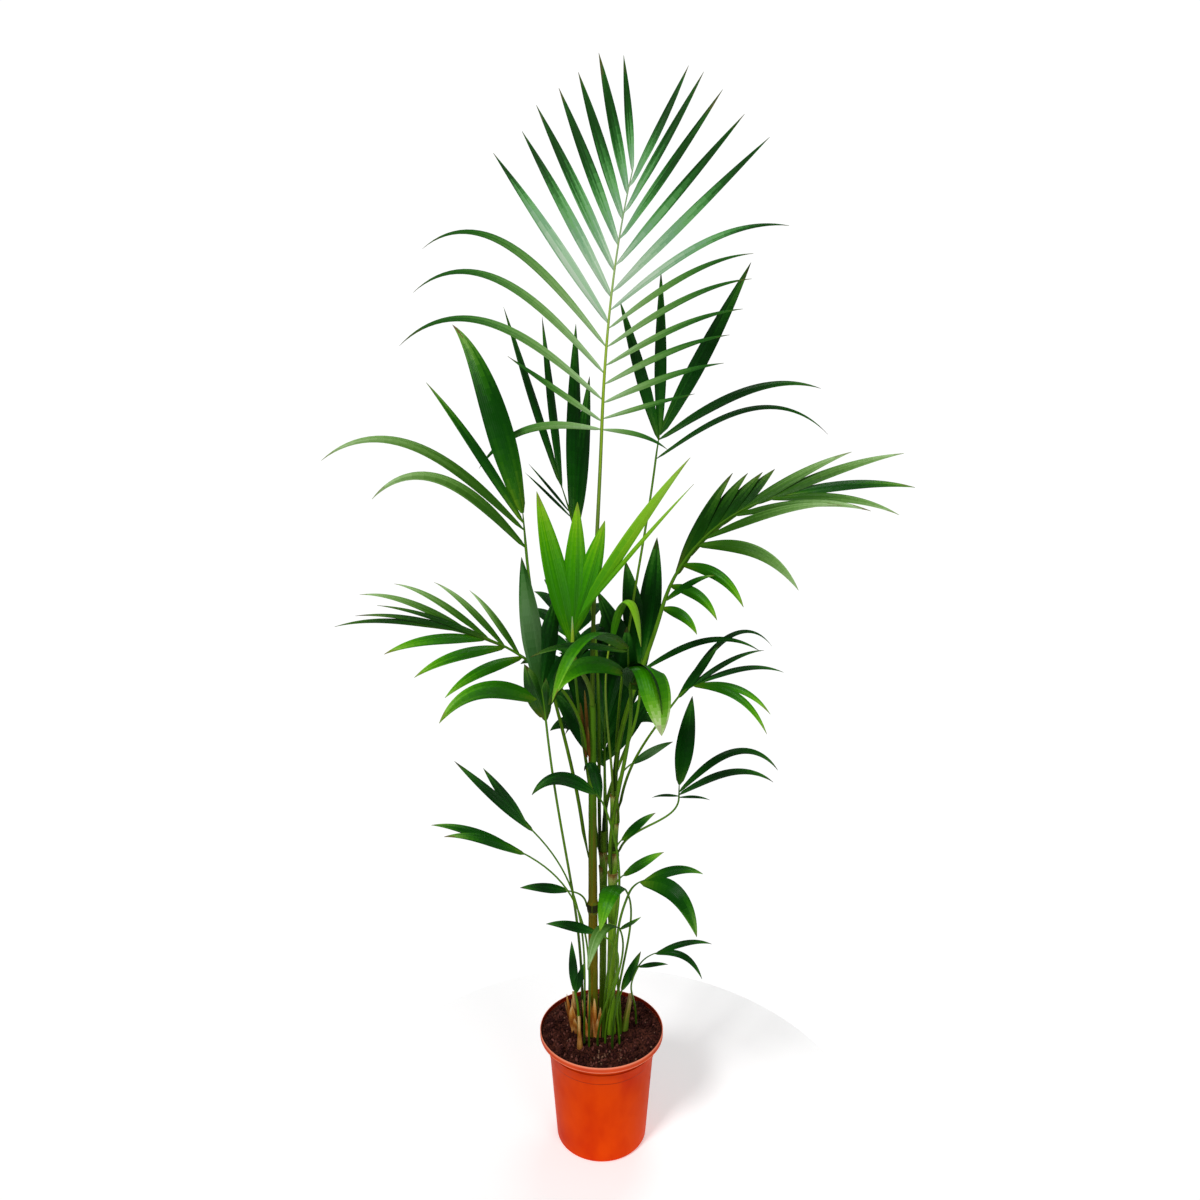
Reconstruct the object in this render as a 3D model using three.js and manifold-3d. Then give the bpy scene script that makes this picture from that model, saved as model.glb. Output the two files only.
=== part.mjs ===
// Kentia palm in a plastic nursery pot: several young palms grown together from one root ball.
// Units are millimetres, +Z is up, and the origin is the centre of the pot's flat underside.
// A compass angle is measured from +X towards +Y; a lean is measured from straight up.
import * as THREE from "three";
import { mergeVertices } from "three/addons/utils/BufferGeometryUtils.js";
import Module from "manifold-3d";

const wasm = await Module();
wasm.setup();

// ---------------------------------------------------------------- driving dimensions
const POT_HEIGHT = 236;
const RIM_RADIUS = 120;
const RIM_BAND = 11;
const RIM_FLARE = 16;
const THROAT_RADIUS = 105;
const SHOULDER_FOOT = 186;
const SHOULDER_STEP = 2;
const BASE_RADIUS = 88;
const BASE_ROUND = 6;
const WALL = 2;
const POT_SIDES = 32;
const SOIL_LEVEL = 230;
const CLEARANCE = 0.3;
// Between the round outlines of a cane and a stalk beside it, whose flats lie further in.
const SEAT_GAP = 0.05;
const FOOT_LEVEL = SOIL_LEVEL + CLEARANCE;

const CANE_SIDES = 8;
const FLARE_HEIGHT = 45;
const FLARE_GAIN = 0.35; // of the girth, at soil level
const NODE_GAIN = 0.35; // of the girth, at a leaf scar
const STALK_SIDES = 5;
const STALK_STEPS = 8;
const STALK_SWELL = 1.4; // foot's girth against the neck's
const RIB_STEPS = 5;
const RIB_TIP_GIRTH = 2;
const LEAF_STEPS = [0, 0.16, 0.4, 0.7, 1];
const LEAF_THICKNESS = 0.012; // of the leaflet's length
const LEAF_BASE_WIDTH = 0.3; // of the leaflet's widest
const LEAF_WIDEST_AT = 0.4; // of the way along it
const DROOP_POWER = 2;

const GREEN = { young: 0x4f9a10, bright: 0x3f8a1c, mid: 0x2c6b1e, dark: 0x174f18, sage: 0x6a9a63 };

// ---------------------------------------------------------------- the plant's plan
// A cane is a slender trunk: its foot stands on the soil, and the girths are its diameters at both ends.
// The old stalks are what is left of leaves that have died back.
const BARK = { brown: 0x6b5526, green: 0x5c6e2a, dry: 0x8a6a45 };
const CANES = [
  {
    name: "cane_left", foot: [-16, -14], top: [-17, 2, 900],
    girths: [20, 13], scars: [530], bark: "brown",
  },
  {
    name: "cane_right", foot: [17, -8], top: [24, 0, 735],
    girths: [18, 13], scars: [], bark: "green",
  },
  {
    name: "cane_middle", foot: [2, 16], top: [4, 20, 640],
    girths: [14, 12], scars: [], bark: "green",
  },
  {
    name: "old_stalk_left", foot: [-47, -4], top: [-55, -8, 318],
    girths: [11, 4], scars: [], bark: "dry",
  },
  {
    name: "old_stalk_front", foot: [-41, -55], top: [-43, -62, 302],
    girths: [9, 4], scars: [], bark: "dry",
  },
  {
    name: "old_stalk_right", foot: [44, -2], top: [57, 8, 302],
    girths: [12, 9], scars: [], bark: "dry",
  },
];

// A rank is a row of leaflets on one side of a rib. Each pair of values runs from its first leaflet to its
// last: the place along the rib, the turn away from the rib (positive anticlockwise of the frond's compass),
// the length and the droop.
function rank(count, at, turn, length, droop, width, twist = 0) {
  return { count, at, turn, length, droop, width, twist };
}

// A frond rises along its stalk to the neck. There its rib starts, aimed [compass, lean], and it bends to
// another [compass, lean] at its tip.
// `from` is [x, y] on the soil, [x, y, z] on a cane's top, or [cane, height, compass] beside a cane.
// `rib` is the rib's length, and `girth` the stalk's diameter at the neck.
const FRONDS = [
  {
    name: "frond_top", from: [-17, 7, 900.3], neck: [0, 60, 1385],
    aim: [78, 10], bend: [52, 21], rib: 460, girth: 6, lift: 6, tone: "sage",
    ranks: [
      rank(1, [0, 0], [84, 84], [250, 250], [1.6, 1.6], 14),
      rank(1, [0.03, 0.03], [58, 58], [205, 205], [0, 0], 11),
      rank(3, [0.11, 0.31], [50, 43], [435, 465], [1.3, 1.15], 15),
      rank(6, [0.4, 0.9], [38, 25], [396, 300], [0.06, 0], 21),
      rank(2, [0, 0.04], [-95, -74], [125, 170], [0.7, 0.1], 9),
      rank(5, [0.1, 0.38], [-68, -54], [225, 285], [0.3, 0.55], 12),
      rank(1, [0.45, 0.45], [-54, -54], [345, 345], [0.75, 0.75], 15),
      rank(5, [0.52, 0.93], [-47, -21], [360, 218], [0.06, 0], 21),
      rank(1, [0.99, 0.99], [18, 18], [240, 240], [0, 0], 16),
    ],
  },
  {
    name: "frond_back_left", from: ["cane_middle", 560, 120], neck: [-45, 150, 1175],
    aim: [125, 27], bend: [128, 31], rib: 110, girth: 5, lift: 0, tone: "dark",
    ranks: [
      rank(2, [1, 0.95], [0, -13], [385, 375], [0.02, 0], 20),
      rank(2, [0.1, 0.25], [-24, -19], [345, 440], [0, 0], 34),
      rank(2, [0.4, 0.5], [36, 28], [120, 122], [0.1, 0.1], 7),
      rank(1, [0.5, 0.5], [-44, -44], [90, 90], [0, 0], 6),
    ],
  },
  {
    name: "frond_back_right", from: [25, 5, 735.3], neck: [100, 150, 1325],
    aim: [75, 30], bend: [70, 32], rib: 50, girth: 4, lift: 0, tone: "dark",
    ranks: [
      rank(2, [0.8, 1], [22, 10], [335, 365], [0.05, 0], 24),
      rank(1, [1, 1], [-17, -17], [385, 385], [0, 0], 34),
      rank(1, [0.8, 0.8], [-50, -50], [330, 330], [0.85, 0.85], 20),
      rank(1, [0, 0], [-50, -50], [360, 360], [1.4, 1.4], 12),
    ],
  },
  {
    name: "frond_left", from: ["cane_left", 600, 190], neck: [-130, -20, 1190],
    aim: [110, 14], bend: [110, 16], rib: 60, girth: 5, lift: 0, tone: "mid",
    ranks: [
      rank(1, [0, 0], [40, 40], [318, 318], [1.5, 1.5], 20),
      rank(1, [0.5, 0.5], [43, 43], [400, 400], [1.3, 1.3], 18),
      rank(1, [0.7, 0.7], [28, 28], [285, 285], [0.25, 0.25], 18),
      rank(1, [1, 1], [11, 11], [360, 360], [0.75, 0.75], 48),
    ],
  },
  {
    name: "frond_young", from: [-17, -4, 900.3], neck: [-50, -60, 1030],
    aim: [95, 4], bend: [80, 8], rib: 60, girth: 7, lift: 0, tone: "young",
    ranks: [
      rank(3, [0, 0.3], [13, -16], [270, 200], [0, 0], 40),
      rank(1, [0.5, 0.5], [-30, -30], [350, 350], [0.25, 0.25], 22),
      rank(1, [0.6, 0.6], [-38, -38], [320, 320], [0.1, 0.1], 8),
    ],
  },
  {
    name: "frond_right", from: [24, -4, 735.3], neck: [104, -30, 1085],
    aim: [-10, 14], bend: [-10, 72], rib: 285, girth: 7, lift: 0, roll: 60, tone: "mid",
    ranks: [
      rank(4, [0.22, 0.62], [3, 8], [195, 135], [0.4, 0.1], 26),
      rank(2, [0.72, 0.86], [0, -1], [225, 255], [0.3, 0.3], 18),
      rank(1, [1, 1], [-5, -5], [225, 225], [0.4, 0.4], 18),
      rank(3, [0.5, 0.95], [-22, -17], [235, 215], [0.5, 0.6], 15),
      rank(1, [0.45, 0.45], [-46, -46], [200, 200], [1.5, 1.5], 22),
      rank(3, [0, 0.3], [-80, -62], [85, 145], [1.5, 1.7], 20),
      rank(1, [0.05, 0.05], [-35, -35], [110, 110], [0.5, 0.5], 12),
    ],
  },
  {
    name: "frond_low_left", from: ["cane_left", 800, 200], neck: [-135, -70, 1010],
    aim: [185, 54], bend: [190, 74], rib: 115, girth: 5, lift: 0, roll: -45, tone: "mid",
    ranks: [
      rank(4, [0.05, 0.8], [-30, -14], [145, 210], [0.45, 0.6], 14),
      rank(3, [0.3, 1], [4, 2], [230, 210], [0.35, 0.5], 11),
      rank(3, [0, 0.6], [50, 20], [165, 180], [0.7, 0.6], 20),
    ],
  },
  {
    name: "frond_lower_left", from: [-37, 23], neck: [-95, -100, 905],
    aim: [120, 12], bend: [125, 16], rib: 55, girth: 4, lift: 0, tone: "bright",
    ranks: [
      rank(1, [1, 1], [-2, -2], [226, 226], [0.2, 0.2], 42),
      rank(1, [0.6, 0.6], [62, 62], [210, 210], [1.7, 1.7], 30),
      rank(2, [0, 0.3], [-8, -35], [75, 110], [0, 0], 24),
      rank(2, [0.5, 1], [-40, -20], [150, 170], [0.8, 0.2], 40),
      rank(1, [0.1, 0.1], [13, 13], [98, 98], [0.3, 0.3], 38),
    ],
  },
  {
    name: "frond_front", from: ["cane_right", 560, 240], neck: [48, -110, 968],
    aim: [-105, 18], bend: [-90, 45], rib: 100, girth: 6, lift: 0, tone: "bright",
    ranks: [
      rank(1, [1, 1], [-34, -34], [230, 230], [3.2, 3.2], 40, -20),
      rank(1, [0.3, 0.3], [-58, -58], [150, 150], [2.6, 2.6], 34, 30),
      rank(1, [0.9, 0.9], [-68, -68], [165, 165], [0.8, 0.8], 18, 20),
      rank(1, [0, 0], [21, 21], [188, 188], [7, 7], 68, 80),
      rank(1, [0.1, 0.1], [32, 32], [145, 145], [6.5, 6.5], 50),
      rank(1, [0.1, 0.1], [2, 2], [115, 115], [0, 0], 30),
    ],
  },
  {
    name: "frond_inner_right", from: [4, 24, 640.3], neck: [70, 40, 912],
    aim: [80, 8], bend: [60, 10], rib: 60, girth: 5, lift: 0, tone: "dark",
    ranks: [
      rank(3, [0.2, 1], [28, -2], [190, 222], [0, 0.1], 46),
      rank(1, [0.6, 0.6], [-52, -52], [240, 240], [1.1, 1.1], 12),
      rank(1, [0.4, 0.4], [60, 60], [105, 105], [1.2, 1.2], 22),
    ],
  },
  {
    name: "frond_right_low", from: ["cane_right", 690, 8], neck: [138, 20, 905],
    aim: [0, 35], bend: [-5, 60], rib: 40, girth: 4, lift: 10, roll: 40, tone: "dark",
    ranks: [
      rank(1, [0, 0], [0, 0], [130, 130], [0.1, 0.1], 18),
      rank(1, [0.2, 0.2], [10, 10], [240, 240], [1.6, 1.6], 12),
      rank(2, [0.6, 1], [-2, -6], [160, 165], [0.6, 0.8], 14),
      rank(2, [1, 0.9], [-30, -40], [165, 175], [1.3, 1.9], 15),
    ],
  },
  {
    name: "frond_right_lowest", from: ["cane_right", 600, 22], neck: [145, 30, 705],
    aim: [90, 2], bend: [80, 4], rib: 25, girth: 3.5, lift: 0, tone: "dark",
    ranks: [
      rank(1, [1, 1], [-6, -6], [175, 175], [0, 0], 34),
      rank(2, [0.4, 0.2], [-42, -58], [230, 190], [1.7, 1.2], 15),
      rank(2, [0, 0.1], [-85, 85], [60, 50], [0.5, 0.5], 6),
    ],
  },
  {
    name: "frond_low_centre", from: [3, -24], neck: [5, -98, 746],
    aim: [190, 20], bend: [190, 40], rib: 30, girth: 4, lift: 0, roll: -60, tone: "dark",
    ranks: [
      rank(2, [1, 0.5], [12, -25], [135, 95], [1.7, 1.9], 24),
    ],
  },
  {
    name: "frond_far_left", from: [-33, -42], neck: [-122, -65, 683],
    aim: [180, 42], bend: [180, 44], rib: 20, girth: 3, lift: 0, roll: -70, tone: "dark",
    ranks: [
      rank(2, [0, 1], [4, -8], [190, 125], [0, 0], 18),
    ],
  },
  {
    name: "frond_far_left_low", from: [-24, -52], neck: [-128, -95, 650],
    aim: [185, 56], bend: [185, 66], rib: 30, girth: 3, lift: 0, roll: -50, tone: "mid",
    ranks: [
      rank(2, [0.3, 0.8], [4, -3], [150, 155], [0.6, 0.5], 18),
    ],
  },
  {
    name: "leaf_left", from: ["cane_left", 495, 170], neck: [-56, -22, 540],
    aim: [185, 75], bend: [185, 80], rib: 12, girth: 3, lift: 0, roll: -60, tone: "dark",
    ranks: [rank(1, [0.5, 0.5], [0, 0], [92, 92], [0.3, 0.3], 18)],
  },
  {
    name: "leaf_front", from: [-8, -48], neck: [-4, -90, 494],
    aim: [185, 60], bend: [180, 80], rib: 12, girth: 3, lift: 0, roll: -60, tone: "dark",
    ranks: [rank(1, [0.5, 0.5], [0, 0], [95, 95], [0.4, 0.4], 18)],
  },
  {
    name: "frond_low_right", from: [36, -14], neck: [50, -75, 568],
    aim: [-30, 22], bend: [-20, 62], rib: 42, girth: 4.5, lift: 0, roll: 40, tone: "bright",
    ranks: [
      rank(1, [1, 1], [6, 6], [115, 115], [0.9, 0.9], 20),
      rank(1, [0.8, 0.8], [-24, -24], [168, 168], [3.1, 3.1], 32, 12),
    ],
  },
  {
    name: "leaf_low_centre", from: [20, -57], neck: [43, -98, 586],
    aim: [245, 40], bend: [245, 60], rib: 15, girth: 3.5, lift: 0, tone: "bright",
    ranks: [rank(1, [0.5, 0.5], [0, 0], [140, 140], [3.2, 3.2], 36)],
  },
  {
    name: "frond_lowest_right", from: [68, 16], neck: [68, -60, 407],
    aim: [-10, 24], bend: [-5, 68], rib: 46, girth: 3, lift: 0, roll: 30, tone: "dark",
    ranks: [
      rank(1, [1, 1], [6, 6], [108, 108], [0.8, 0.8], 13),
      rank(1, [0.95, 0.95], [-12, -12], [116, 116], [2.8, 2.8], 13),
      rank(1, [0, 0], [-40, -40], [98, 98], [0.2, 0.2], 9),
    ],
  },
  {
    name: "shoot_left", from: [-44, -24], neck: [-50, -32, 332],
    aim: [185, 12], bend: [180, 5], rib: 10, girth: 4, lift: 0, roll: 80, tone: "dark",
    ranks: [
      rank(1, [0.5, 0.5], [5, 5], [105, 105], [0, 0], 17),
      rank(1, [0, 0], [26, 26], [75, 75], [0, 0], 15),
    ],
  },
  {
    name: "shoot_right", from: [34, -44], neck: [36, -45, 341],
    aim: [0, 22], bend: [0, 15], rib: 10, girth: 4, lift: 0, roll: 80, tone: "mid",
    ranks: [rank(1, [0.5, 0.5], [-5, -5], [90, 90], [0, 0], 17)],
  },
  {
    name: "leaf_low_front", from: [7, -46], neck: [33, -84, 500],
    aim: [240, 30], bend: [240, 70], rib: 15, girth: 3.5, lift: 0, tone: "bright",
    ranks: [
      rank(1, [0.5, 0.5], [0, 0], [145, 145], [3, 3], 26),
      rank(1, [0, 0], [42, 42], [95, 95], [0, 0], 9),
    ],
  },
  {
    name: "leaf_low_right", from: ["cane_right", 520, 330], neck: [35, -30, 573],
    aim: [0, 45], bend: [0, 60], rib: 12, girth: 3, lift: 0, roll: 50, tone: "bright",
    ranks: [rank(1, [0.5, 0.5], [0, 0], [90, 90], [0.3, 0.3], 18)],
  },
  {
    name: "leaf_mid_right", from: ["cane_right", 600, 338], neck: [32, -24, 640],
    aim: [0, 35], bend: [0, 50], rib: 12, girth: 3, lift: 0, roll: 50, tone: "mid",
    ranks: [rank(1, [0.5, 0.5], [0, 0], [85, 85], [0.4, 0.4], 17)],
  },
  {
    name: "leaf_high_right", from: ["cane_right", 660, 332], neck: [50, -30, 795],
    aim: [0, 50], bend: [0, 60], rib: 12, girth: 3, lift: 0, roll: 50, tone: "dark",
    ranks: [rank(1, [0.5, 0.5], [0, 0], [85, 85], [0.3, 0.3], 16)],
  },
  {
    name: "leaf_folded", from: ["cane_right", 715, 255], neck: [13, -34, 1018],
    aim: [318, 12], bend: [318, 15], rib: 10, girth: 3.5, lift: 0, tone: "young",
    ranks: [rank(1, [0.5, 0.5], [0, 0], [182, 182], [3.5, 3.5], 26)],
  },
  {
    name: "frond_centre", from: ["cane_middle", 580, 60], neck: [6, 76, 748],
    aim: [90, 4], bend: [90, 14], rib: 110, girth: 5, lift: 0, tone: "dark",
    ranks: [
      rank(3, [0, 0.6], [33, 14], [185, 215], [0.15, 0.1], 38),
      rank(3, [0.1, 0.7], [-33, -14], [185, 215], [0.15, 0.1], 38),
      rank(1, [1, 1], [0, 0], [190, 190], [0.05, 0.05], 34),
    ],
  },
  {
    name: "frond_back_high", from: ["cane_middle", 590, 175], neck: [-48, 60, 930],
    aim: [100, 30], bend: [95, 68], rib: 170, girth: 5, lift: 8, tone: "dark",
    ranks: [
      rank(5, [0.05, 0.95], [56, 18], [110, 135], [1.2, 0.6], 30),
      rank(5, [0.1, 0.98], [-56, -18], [110, 135], [1.2, 0.6], 30),
      rank(1, [0.99, 0.99], [0, 0], [150, 150], [0.3, 0.3], 18),
    ],
  },
  {
    name: "frond_back", from: ["cane_middle", 500, 90], neck: [5, 120, 770],
    aim: [95, 25], bend: [95, 70], rib: 180, girth: 5, lift: 8, tone: "dark",
    ranks: [
      rank(5, [0.1, 0.95], [54, 22], [125, 160], [1.6, 0.6], 36),
      rank(5, [0.15, 0.98], [-54, -22], [125, 160], [1.6, 0.6], 36),
      rank(1, [0.99, 0.99], [0, 0], [150, 150], [0.3, 0.3], 18),
      rank(2, [0, 0.05], [28, -28], [130, 130], [2.6, 2.6], 34),
    ],
  },
];

// ---------------------------------------------------------------- helpers
const UP = new THREE.Vector3(0, 0, 1);
const rad = THREE.MathUtils.degToRad;
const mix = THREE.MathUtils.lerp;
const vec = (p) => new THREE.Vector3(...p);

function leaning([compass, lean]) {
  const across = Math.sin(rad(lean));
  const x = across * Math.cos(rad(compass));
  const y = across * Math.sin(rad(compass));
  return new THREE.Vector3(x, y, Math.cos(rad(lean)));
}

// A number from -0.5 to 0.5 that is always the same for the same pair of numbers.
function scatter(i, salt) {
  const s = Math.sin(i * 12.9898 + salt * 78.233) * 43758.5453;
  return s - Math.floor(s) - 0.5;
}

function solidOf(geometry) {
  geometry.deleteAttribute("normal");
  geometry.deleteAttribute("uv");
  const merged = mergeVertices(geometry, 1e-4);
  const vertProperties = merged.attributes.position.array;
  const triVerts = new Uint32Array(merged.index.array);
  const solid = new wasm.Manifold(new wasm.Mesh({ numProp: 3, vertProperties, triVerts }));
  if (solid.volume() > 0) return solid;
  return new wasm.Manifold(new wasm.Mesh({ numProp: 3, vertProperties, triVerts: triVerts.reverse() }));
}

function geometryOf(solid) {
  const mesh = solid.getMesh();
  const positions = new Float32Array(mesh.numVert * 3);
  for (let i = 0; i < mesh.numVert; i++) {
    positions.set(mesh.vertProperties.subarray(i * mesh.numProp, i * mesh.numProp + 3), i * 3);
  }
  return new THREE.BufferGeometry()
    .setAttribute("position", new THREE.BufferAttribute(positions, 3))
    .setIndex(new THREE.BufferAttribute(mesh.triVerts, 1));
}

// A closed skin over a row of rings, each with the same number of points and turning the same way. The back's
// diagonals lean as the front's do, so that the two faces of a thin twisted blade don't cross.
function skin(rings) {
  const size = rings[0].length;
  const points = rings.flat();
  const faces = [];
  for (let ring = 0; ring + 1 < rings.length; ring++) {
    for (let i = 0; i < size; i++) {
      const a = ring * size + i;
      const b = ring * size + ((i + 1) % size);
      if (i < size / 2) faces.push(a, b, b + size, a, b + size, a + size);
      else faces.push(a, b, a + size, b, b + size, a + size);
    }
  }
  const last = points.length - size;
  for (let i = 1; i + 1 < size; i++) {
    faces.push(0, i + 1, i, last, last + i, last + i + 1);
  }
  const positions = new Float32Array(points.flatMap((p) => p.toArray()));
  const geometry = new THREE.BufferGeometry()
    .setAttribute("position", new THREE.BufferAttribute(positions, 3))
    .setIndex(faces);
  return solidOf(geometry);
}

// ---------------------------------------------------------------- canes
const caneAt = (cane, height) => {
  const foot = new THREE.Vector3(...cane.foot, FOOT_LEVEL);
  const top = vec(cane.top);
  const along = (height - foot.z) / (top.z - foot.z);
  const centre = foot.lerp(top, along);
  const flare = FLARE_GAIN * Math.max(0, 1 - (height - FOOT_LEVEL) / FLARE_HEIGHT) ** 2;
  return { centre, radius: (mix(...cane.girths, along) / 2) * (1 + flare) };
};

function caneSolid(cane) {
  const heights = [0, 12, 45, 140, 280].map((h) => FOOT_LEVEL + h).filter((height) => height < cane.top[2]);
  for (const scar of cane.scars) heights.push(scar - 14, scar - 4, scar + 4, scar + 14);
  heights.push(mix(Math.max(...heights), cane.top[2], 0.5), cane.top[2]);
  const rings = heights
    .sort((a, b) => a - b)
    .map((height) => {
      const { centre, radius } = caneAt(cane, height);
      const scarred = cane.scars.some((scar) => Math.abs(height - scar) < 5);
      const reach = radius * (scarred ? 1 + NODE_GAIN : 1);
      return Array.from({ length: CANE_SIDES }, (_, i) =>
        leaning([(360 * i) / CANE_SIDES, 90]).multiplyScalar(reach).add(centre),
      );
    });
  return skin(rings);
}

// ---------------------------------------------------------------- fronds
// The stalk's and the rib's path: points with their direction, and how far along the rib each one is.
function frondPath(frond) {
  const aim = leaning(frond.aim);
  const neck = vec(frond.neck);
  let foot;
  let rise = UP.clone();
  if (typeof frond.from[0] === "string") {
    const [name, height, compass] = frond.from;
    const side = caneAt(CANES.find((cane) => cane.name === name), height);
    const away = side.radius + (frond.girth * STALK_SWELL) / 2 + SEAT_GAP;
    foot = leaning([compass, 90]).multiplyScalar(away).add(side.centre);
    rise = leaning([compass, 5]);
  } else {
    foot = new THREE.Vector3(frond.from[0], frond.from[1], frond.from[2] ?? FOOT_LEVEL);
  }
  const span = foot.distanceTo(neck);
  const curve = new THREE.CubicBezierCurve3(
    foot,
    foot.clone().addScaledVector(rise, 0.4 * span),
    neck.clone().addScaledVector(aim, -0.35 * span),
    neck,
  );
  const path = [];
  for (let i = 0; i <= STALK_STEPS; i++) {
    const t = i / STALK_STEPS;
    path.push({ point: curve.getPoint(t), along: curve.getTangent(t), u: t - 1 });
  }
  const point = neck.clone();
  for (let i = 1; i <= RIB_STEPS; i++) {
    point.addScaledVector(ribWay(frond, (i - 0.5) / RIB_STEPS), frond.rib / RIB_STEPS);
    path.push({ point: point.clone(), along: ribWay(frond, i / RIB_STEPS), u: i / RIB_STEPS });
  }
  return path;
}

// The rib's direction at u, from 0 at the neck to 1 at its tip.
function ribWay(frond, u) {
  const compass = mix(frond.aim[0], frond.bend[0], u);
  const lean = mix(frond.aim[1], frond.bend[1], u);
  return leaning([compass, lean]);
}

function ribPoint(frond, u) {
  const steps = 12;
  const point = vec(frond.neck);
  for (let i = 0; i < steps; i++) {
    point.addScaledVector(ribWay(frond, ((i + 0.5) / steps) * u), (frond.rib * u) / steps);
  }
  return point;
}

function stalkSolid(frond) {
  const path = frondPath(frond);
  const across = new THREE.Vector3(1, 0, 0);
  const rings = path.map(({ point, along, u }) => {
    across.addScaledVector(along, -across.dot(along)).normalize();
    const other = along.clone().cross(across);
    const end = u < 0 ? frond.girth * STALK_SWELL : RIB_TIP_GIRTH;
    const girth = mix(frond.girth, end, Math.abs(u));
    return Array.from({ length: STALK_SIDES }, (_, i) => {
      const angle = (2 * Math.PI * i) / STALK_SIDES;
      return point
        .clone()
        .addScaledVector(across, (Math.cos(angle) * girth) / 2)
        .addScaledVector(other, (Math.sin(angle) * girth) / 2);
    });
  });
  return skin(rings);
}

// How wide a leaflet is at t, from 0 at its base to 1 at its tip, as a share of its widest.
function leafWidth(t) {
  if (t >= 1) return 0;
  if (t > LEAF_WIDEST_AT) {
    return Math.cos(((t - LEAF_WIDEST_AT) / (1 - LEAF_WIDEST_AT)) * (Math.PI / 2)) ** 0.85;
  }
  return mix(LEAF_BASE_WIDTH, 1, Math.sin((t / LEAF_WIDEST_AT) * (Math.PI / 2)));
}

// Each leaflet of a frond: where it starts, the way it sets out, its face's normal, and its sizes. `lift`
// raises both sides of the frond into a V, and `roll` turns the whole frond about its rib.
function leafletsOf(frond) {
  const leaflets = [];
  for (const row of frond.ranks) {
    for (let i = 0; i < row.count; i++) {
      const k = row.count > 1 ? i / (row.count - 1) : 0;
      const turn = mix(...row.turn, k) + 3 * scatter(leaflets.length, frond.rib);
      leaflets.push({
        u: mix(...row.at, k),
        turn,
        length: mix(...row.length, k) * (1 + 0.06 * scatter(leaflets.length, frond.rib + 1)),
        droop: mix(...row.droop, k),
        width: row.width,
        twist: row.twist,
      });
    }
  }
  for (const leaf of leaflets) {
    const along = ribWay(frond, leaf.u);
    const compass = mix(frond.aim[0], frond.bend[0], leaf.u);
    const side = leaning([compass + 90, 90]);
    const face = along.clone().cross(side);
    const roll = rad(frond.roll ?? 0);
    const rolled = side.clone().multiplyScalar(Math.cos(roll)).addScaledVector(face, Math.sin(roll));
    face.multiplyScalar(Math.cos(roll)).addScaledVector(side, -Math.sin(roll));
    const lift = rad(frond.lift) * Math.sign(leaf.turn);
    const out = rolled.clone().multiplyScalar(Math.cos(lift)).addScaledVector(face, Math.sin(lift));
    leaf.base = ribPoint(frond, leaf.u);
    leaf.way = along.multiplyScalar(Math.cos(rad(leaf.turn))).addScaledVector(out, Math.sin(rad(leaf.turn)));
    leaf.face = face.multiplyScalar(Math.cos(lift)).addScaledVector(rolled, -Math.sin(lift));
  }
  return leaflets;
}

function leafSolid(leaf, extra = 0) {
  const rings = [];
  const point = leaf.base.clone();
  const across = leaf.face.clone().cross(leaf.way).normalize();
  let before = 0;
  for (const t of LEAF_STEPS) {
    const middle = (before + t) / 2;
    const stride = leaf.way.clone().addScaledVector(UP, -leaf.droop * middle ** DROOP_POWER).normalize();
    point.addScaledVector(stride, (t - before) * leaf.length);
    const way = leaf.way.clone().addScaledVector(UP, -leaf.droop * t ** DROOP_POWER).normalize();
    across.addScaledVector(way, -across.dot(way)).normalize();
    across.applyAxisAngle(way, rad(leaf.twist) * (t - before));
    const face = way.clone().cross(across);
    const half = (Math.max(leafWidth(t), 0.06) * leaf.width) / 2 + extra;
    const thick = leaf.length * LEAF_THICKNESS * (1 - 0.6 * t) + extra;
    rings.push([
      point.clone().addScaledVector(across, half).addScaledVector(face, -thick / 3),
      point.clone().addScaledVector(face, (thick * 2) / 3),
      point.clone().addScaledVector(across, -half).addScaledVector(face, -thick / 3),
    ]);
    before = t;
  }
  return skin(rings);
}

// ---------------------------------------------------------------- pot and soil
// The pot's outside from its underside up, as [radius, height]. The inside is that line, set in by the wall.
function potLine(inset) {
  const throat = THROAT_RADIUS - SHOULDER_STEP;
  const slope = (throat - BASE_RADIUS) / (POT_HEIGHT - RIM_BAND - RIM_FLARE);
  const radiusAt = (height) => BASE_RADIUS + slope * height - inset;
  const flareFoot = POT_HEIGHT - RIM_BAND - RIM_FLARE;
  return [
    [radiusAt(0) - BASE_ROUND, inset],
    [radiusAt(0) - BASE_ROUND * 0.3, BASE_ROUND * 0.3 + inset * 0.7],
    [radiusAt(BASE_ROUND), BASE_ROUND],
    [radiusAt(SHOULDER_FOOT), SHOULDER_FOOT],
    [radiusAt(SHOULDER_FOOT) + SHOULDER_STEP, SHOULDER_FOOT + SHOULDER_STEP],
    [THROAT_RADIUS - inset, flareFoot],
    [mix(THROAT_RADIUS, RIM_RADIUS, 0.35) - inset, flareFoot + RIM_FLARE * 0.6],
    [RIM_RADIUS - inset, flareFoot + RIM_FLARE],
    [RIM_RADIUS - inset, POT_HEIGHT],
  ];
}

function lathe(profile) {
  const points = profile.map(([radius, height]) => new THREE.Vector2(radius, height));
  return solidOf(new THREE.LatheGeometry(points, POT_SIDES).rotateX(Math.PI / 2));
}

function potSolid() {
  return lathe([[0, 0], ...potLine(0), ...potLine(WALL).reverse(), [0, WALL], [0, 0]]);
}

function soilSolid() {
  const inset = WALL + 2 * CLEARANCE;
  const line = potLine(inset).filter(([, height]) => height < SOIL_LEVEL);
  const wide = line.at(-1)[0];
  return lathe([[0, inset], ...line, [wide, SOIL_LEVEL], [0, SOIL_LEVEL], [0, inset]]);
}

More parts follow.
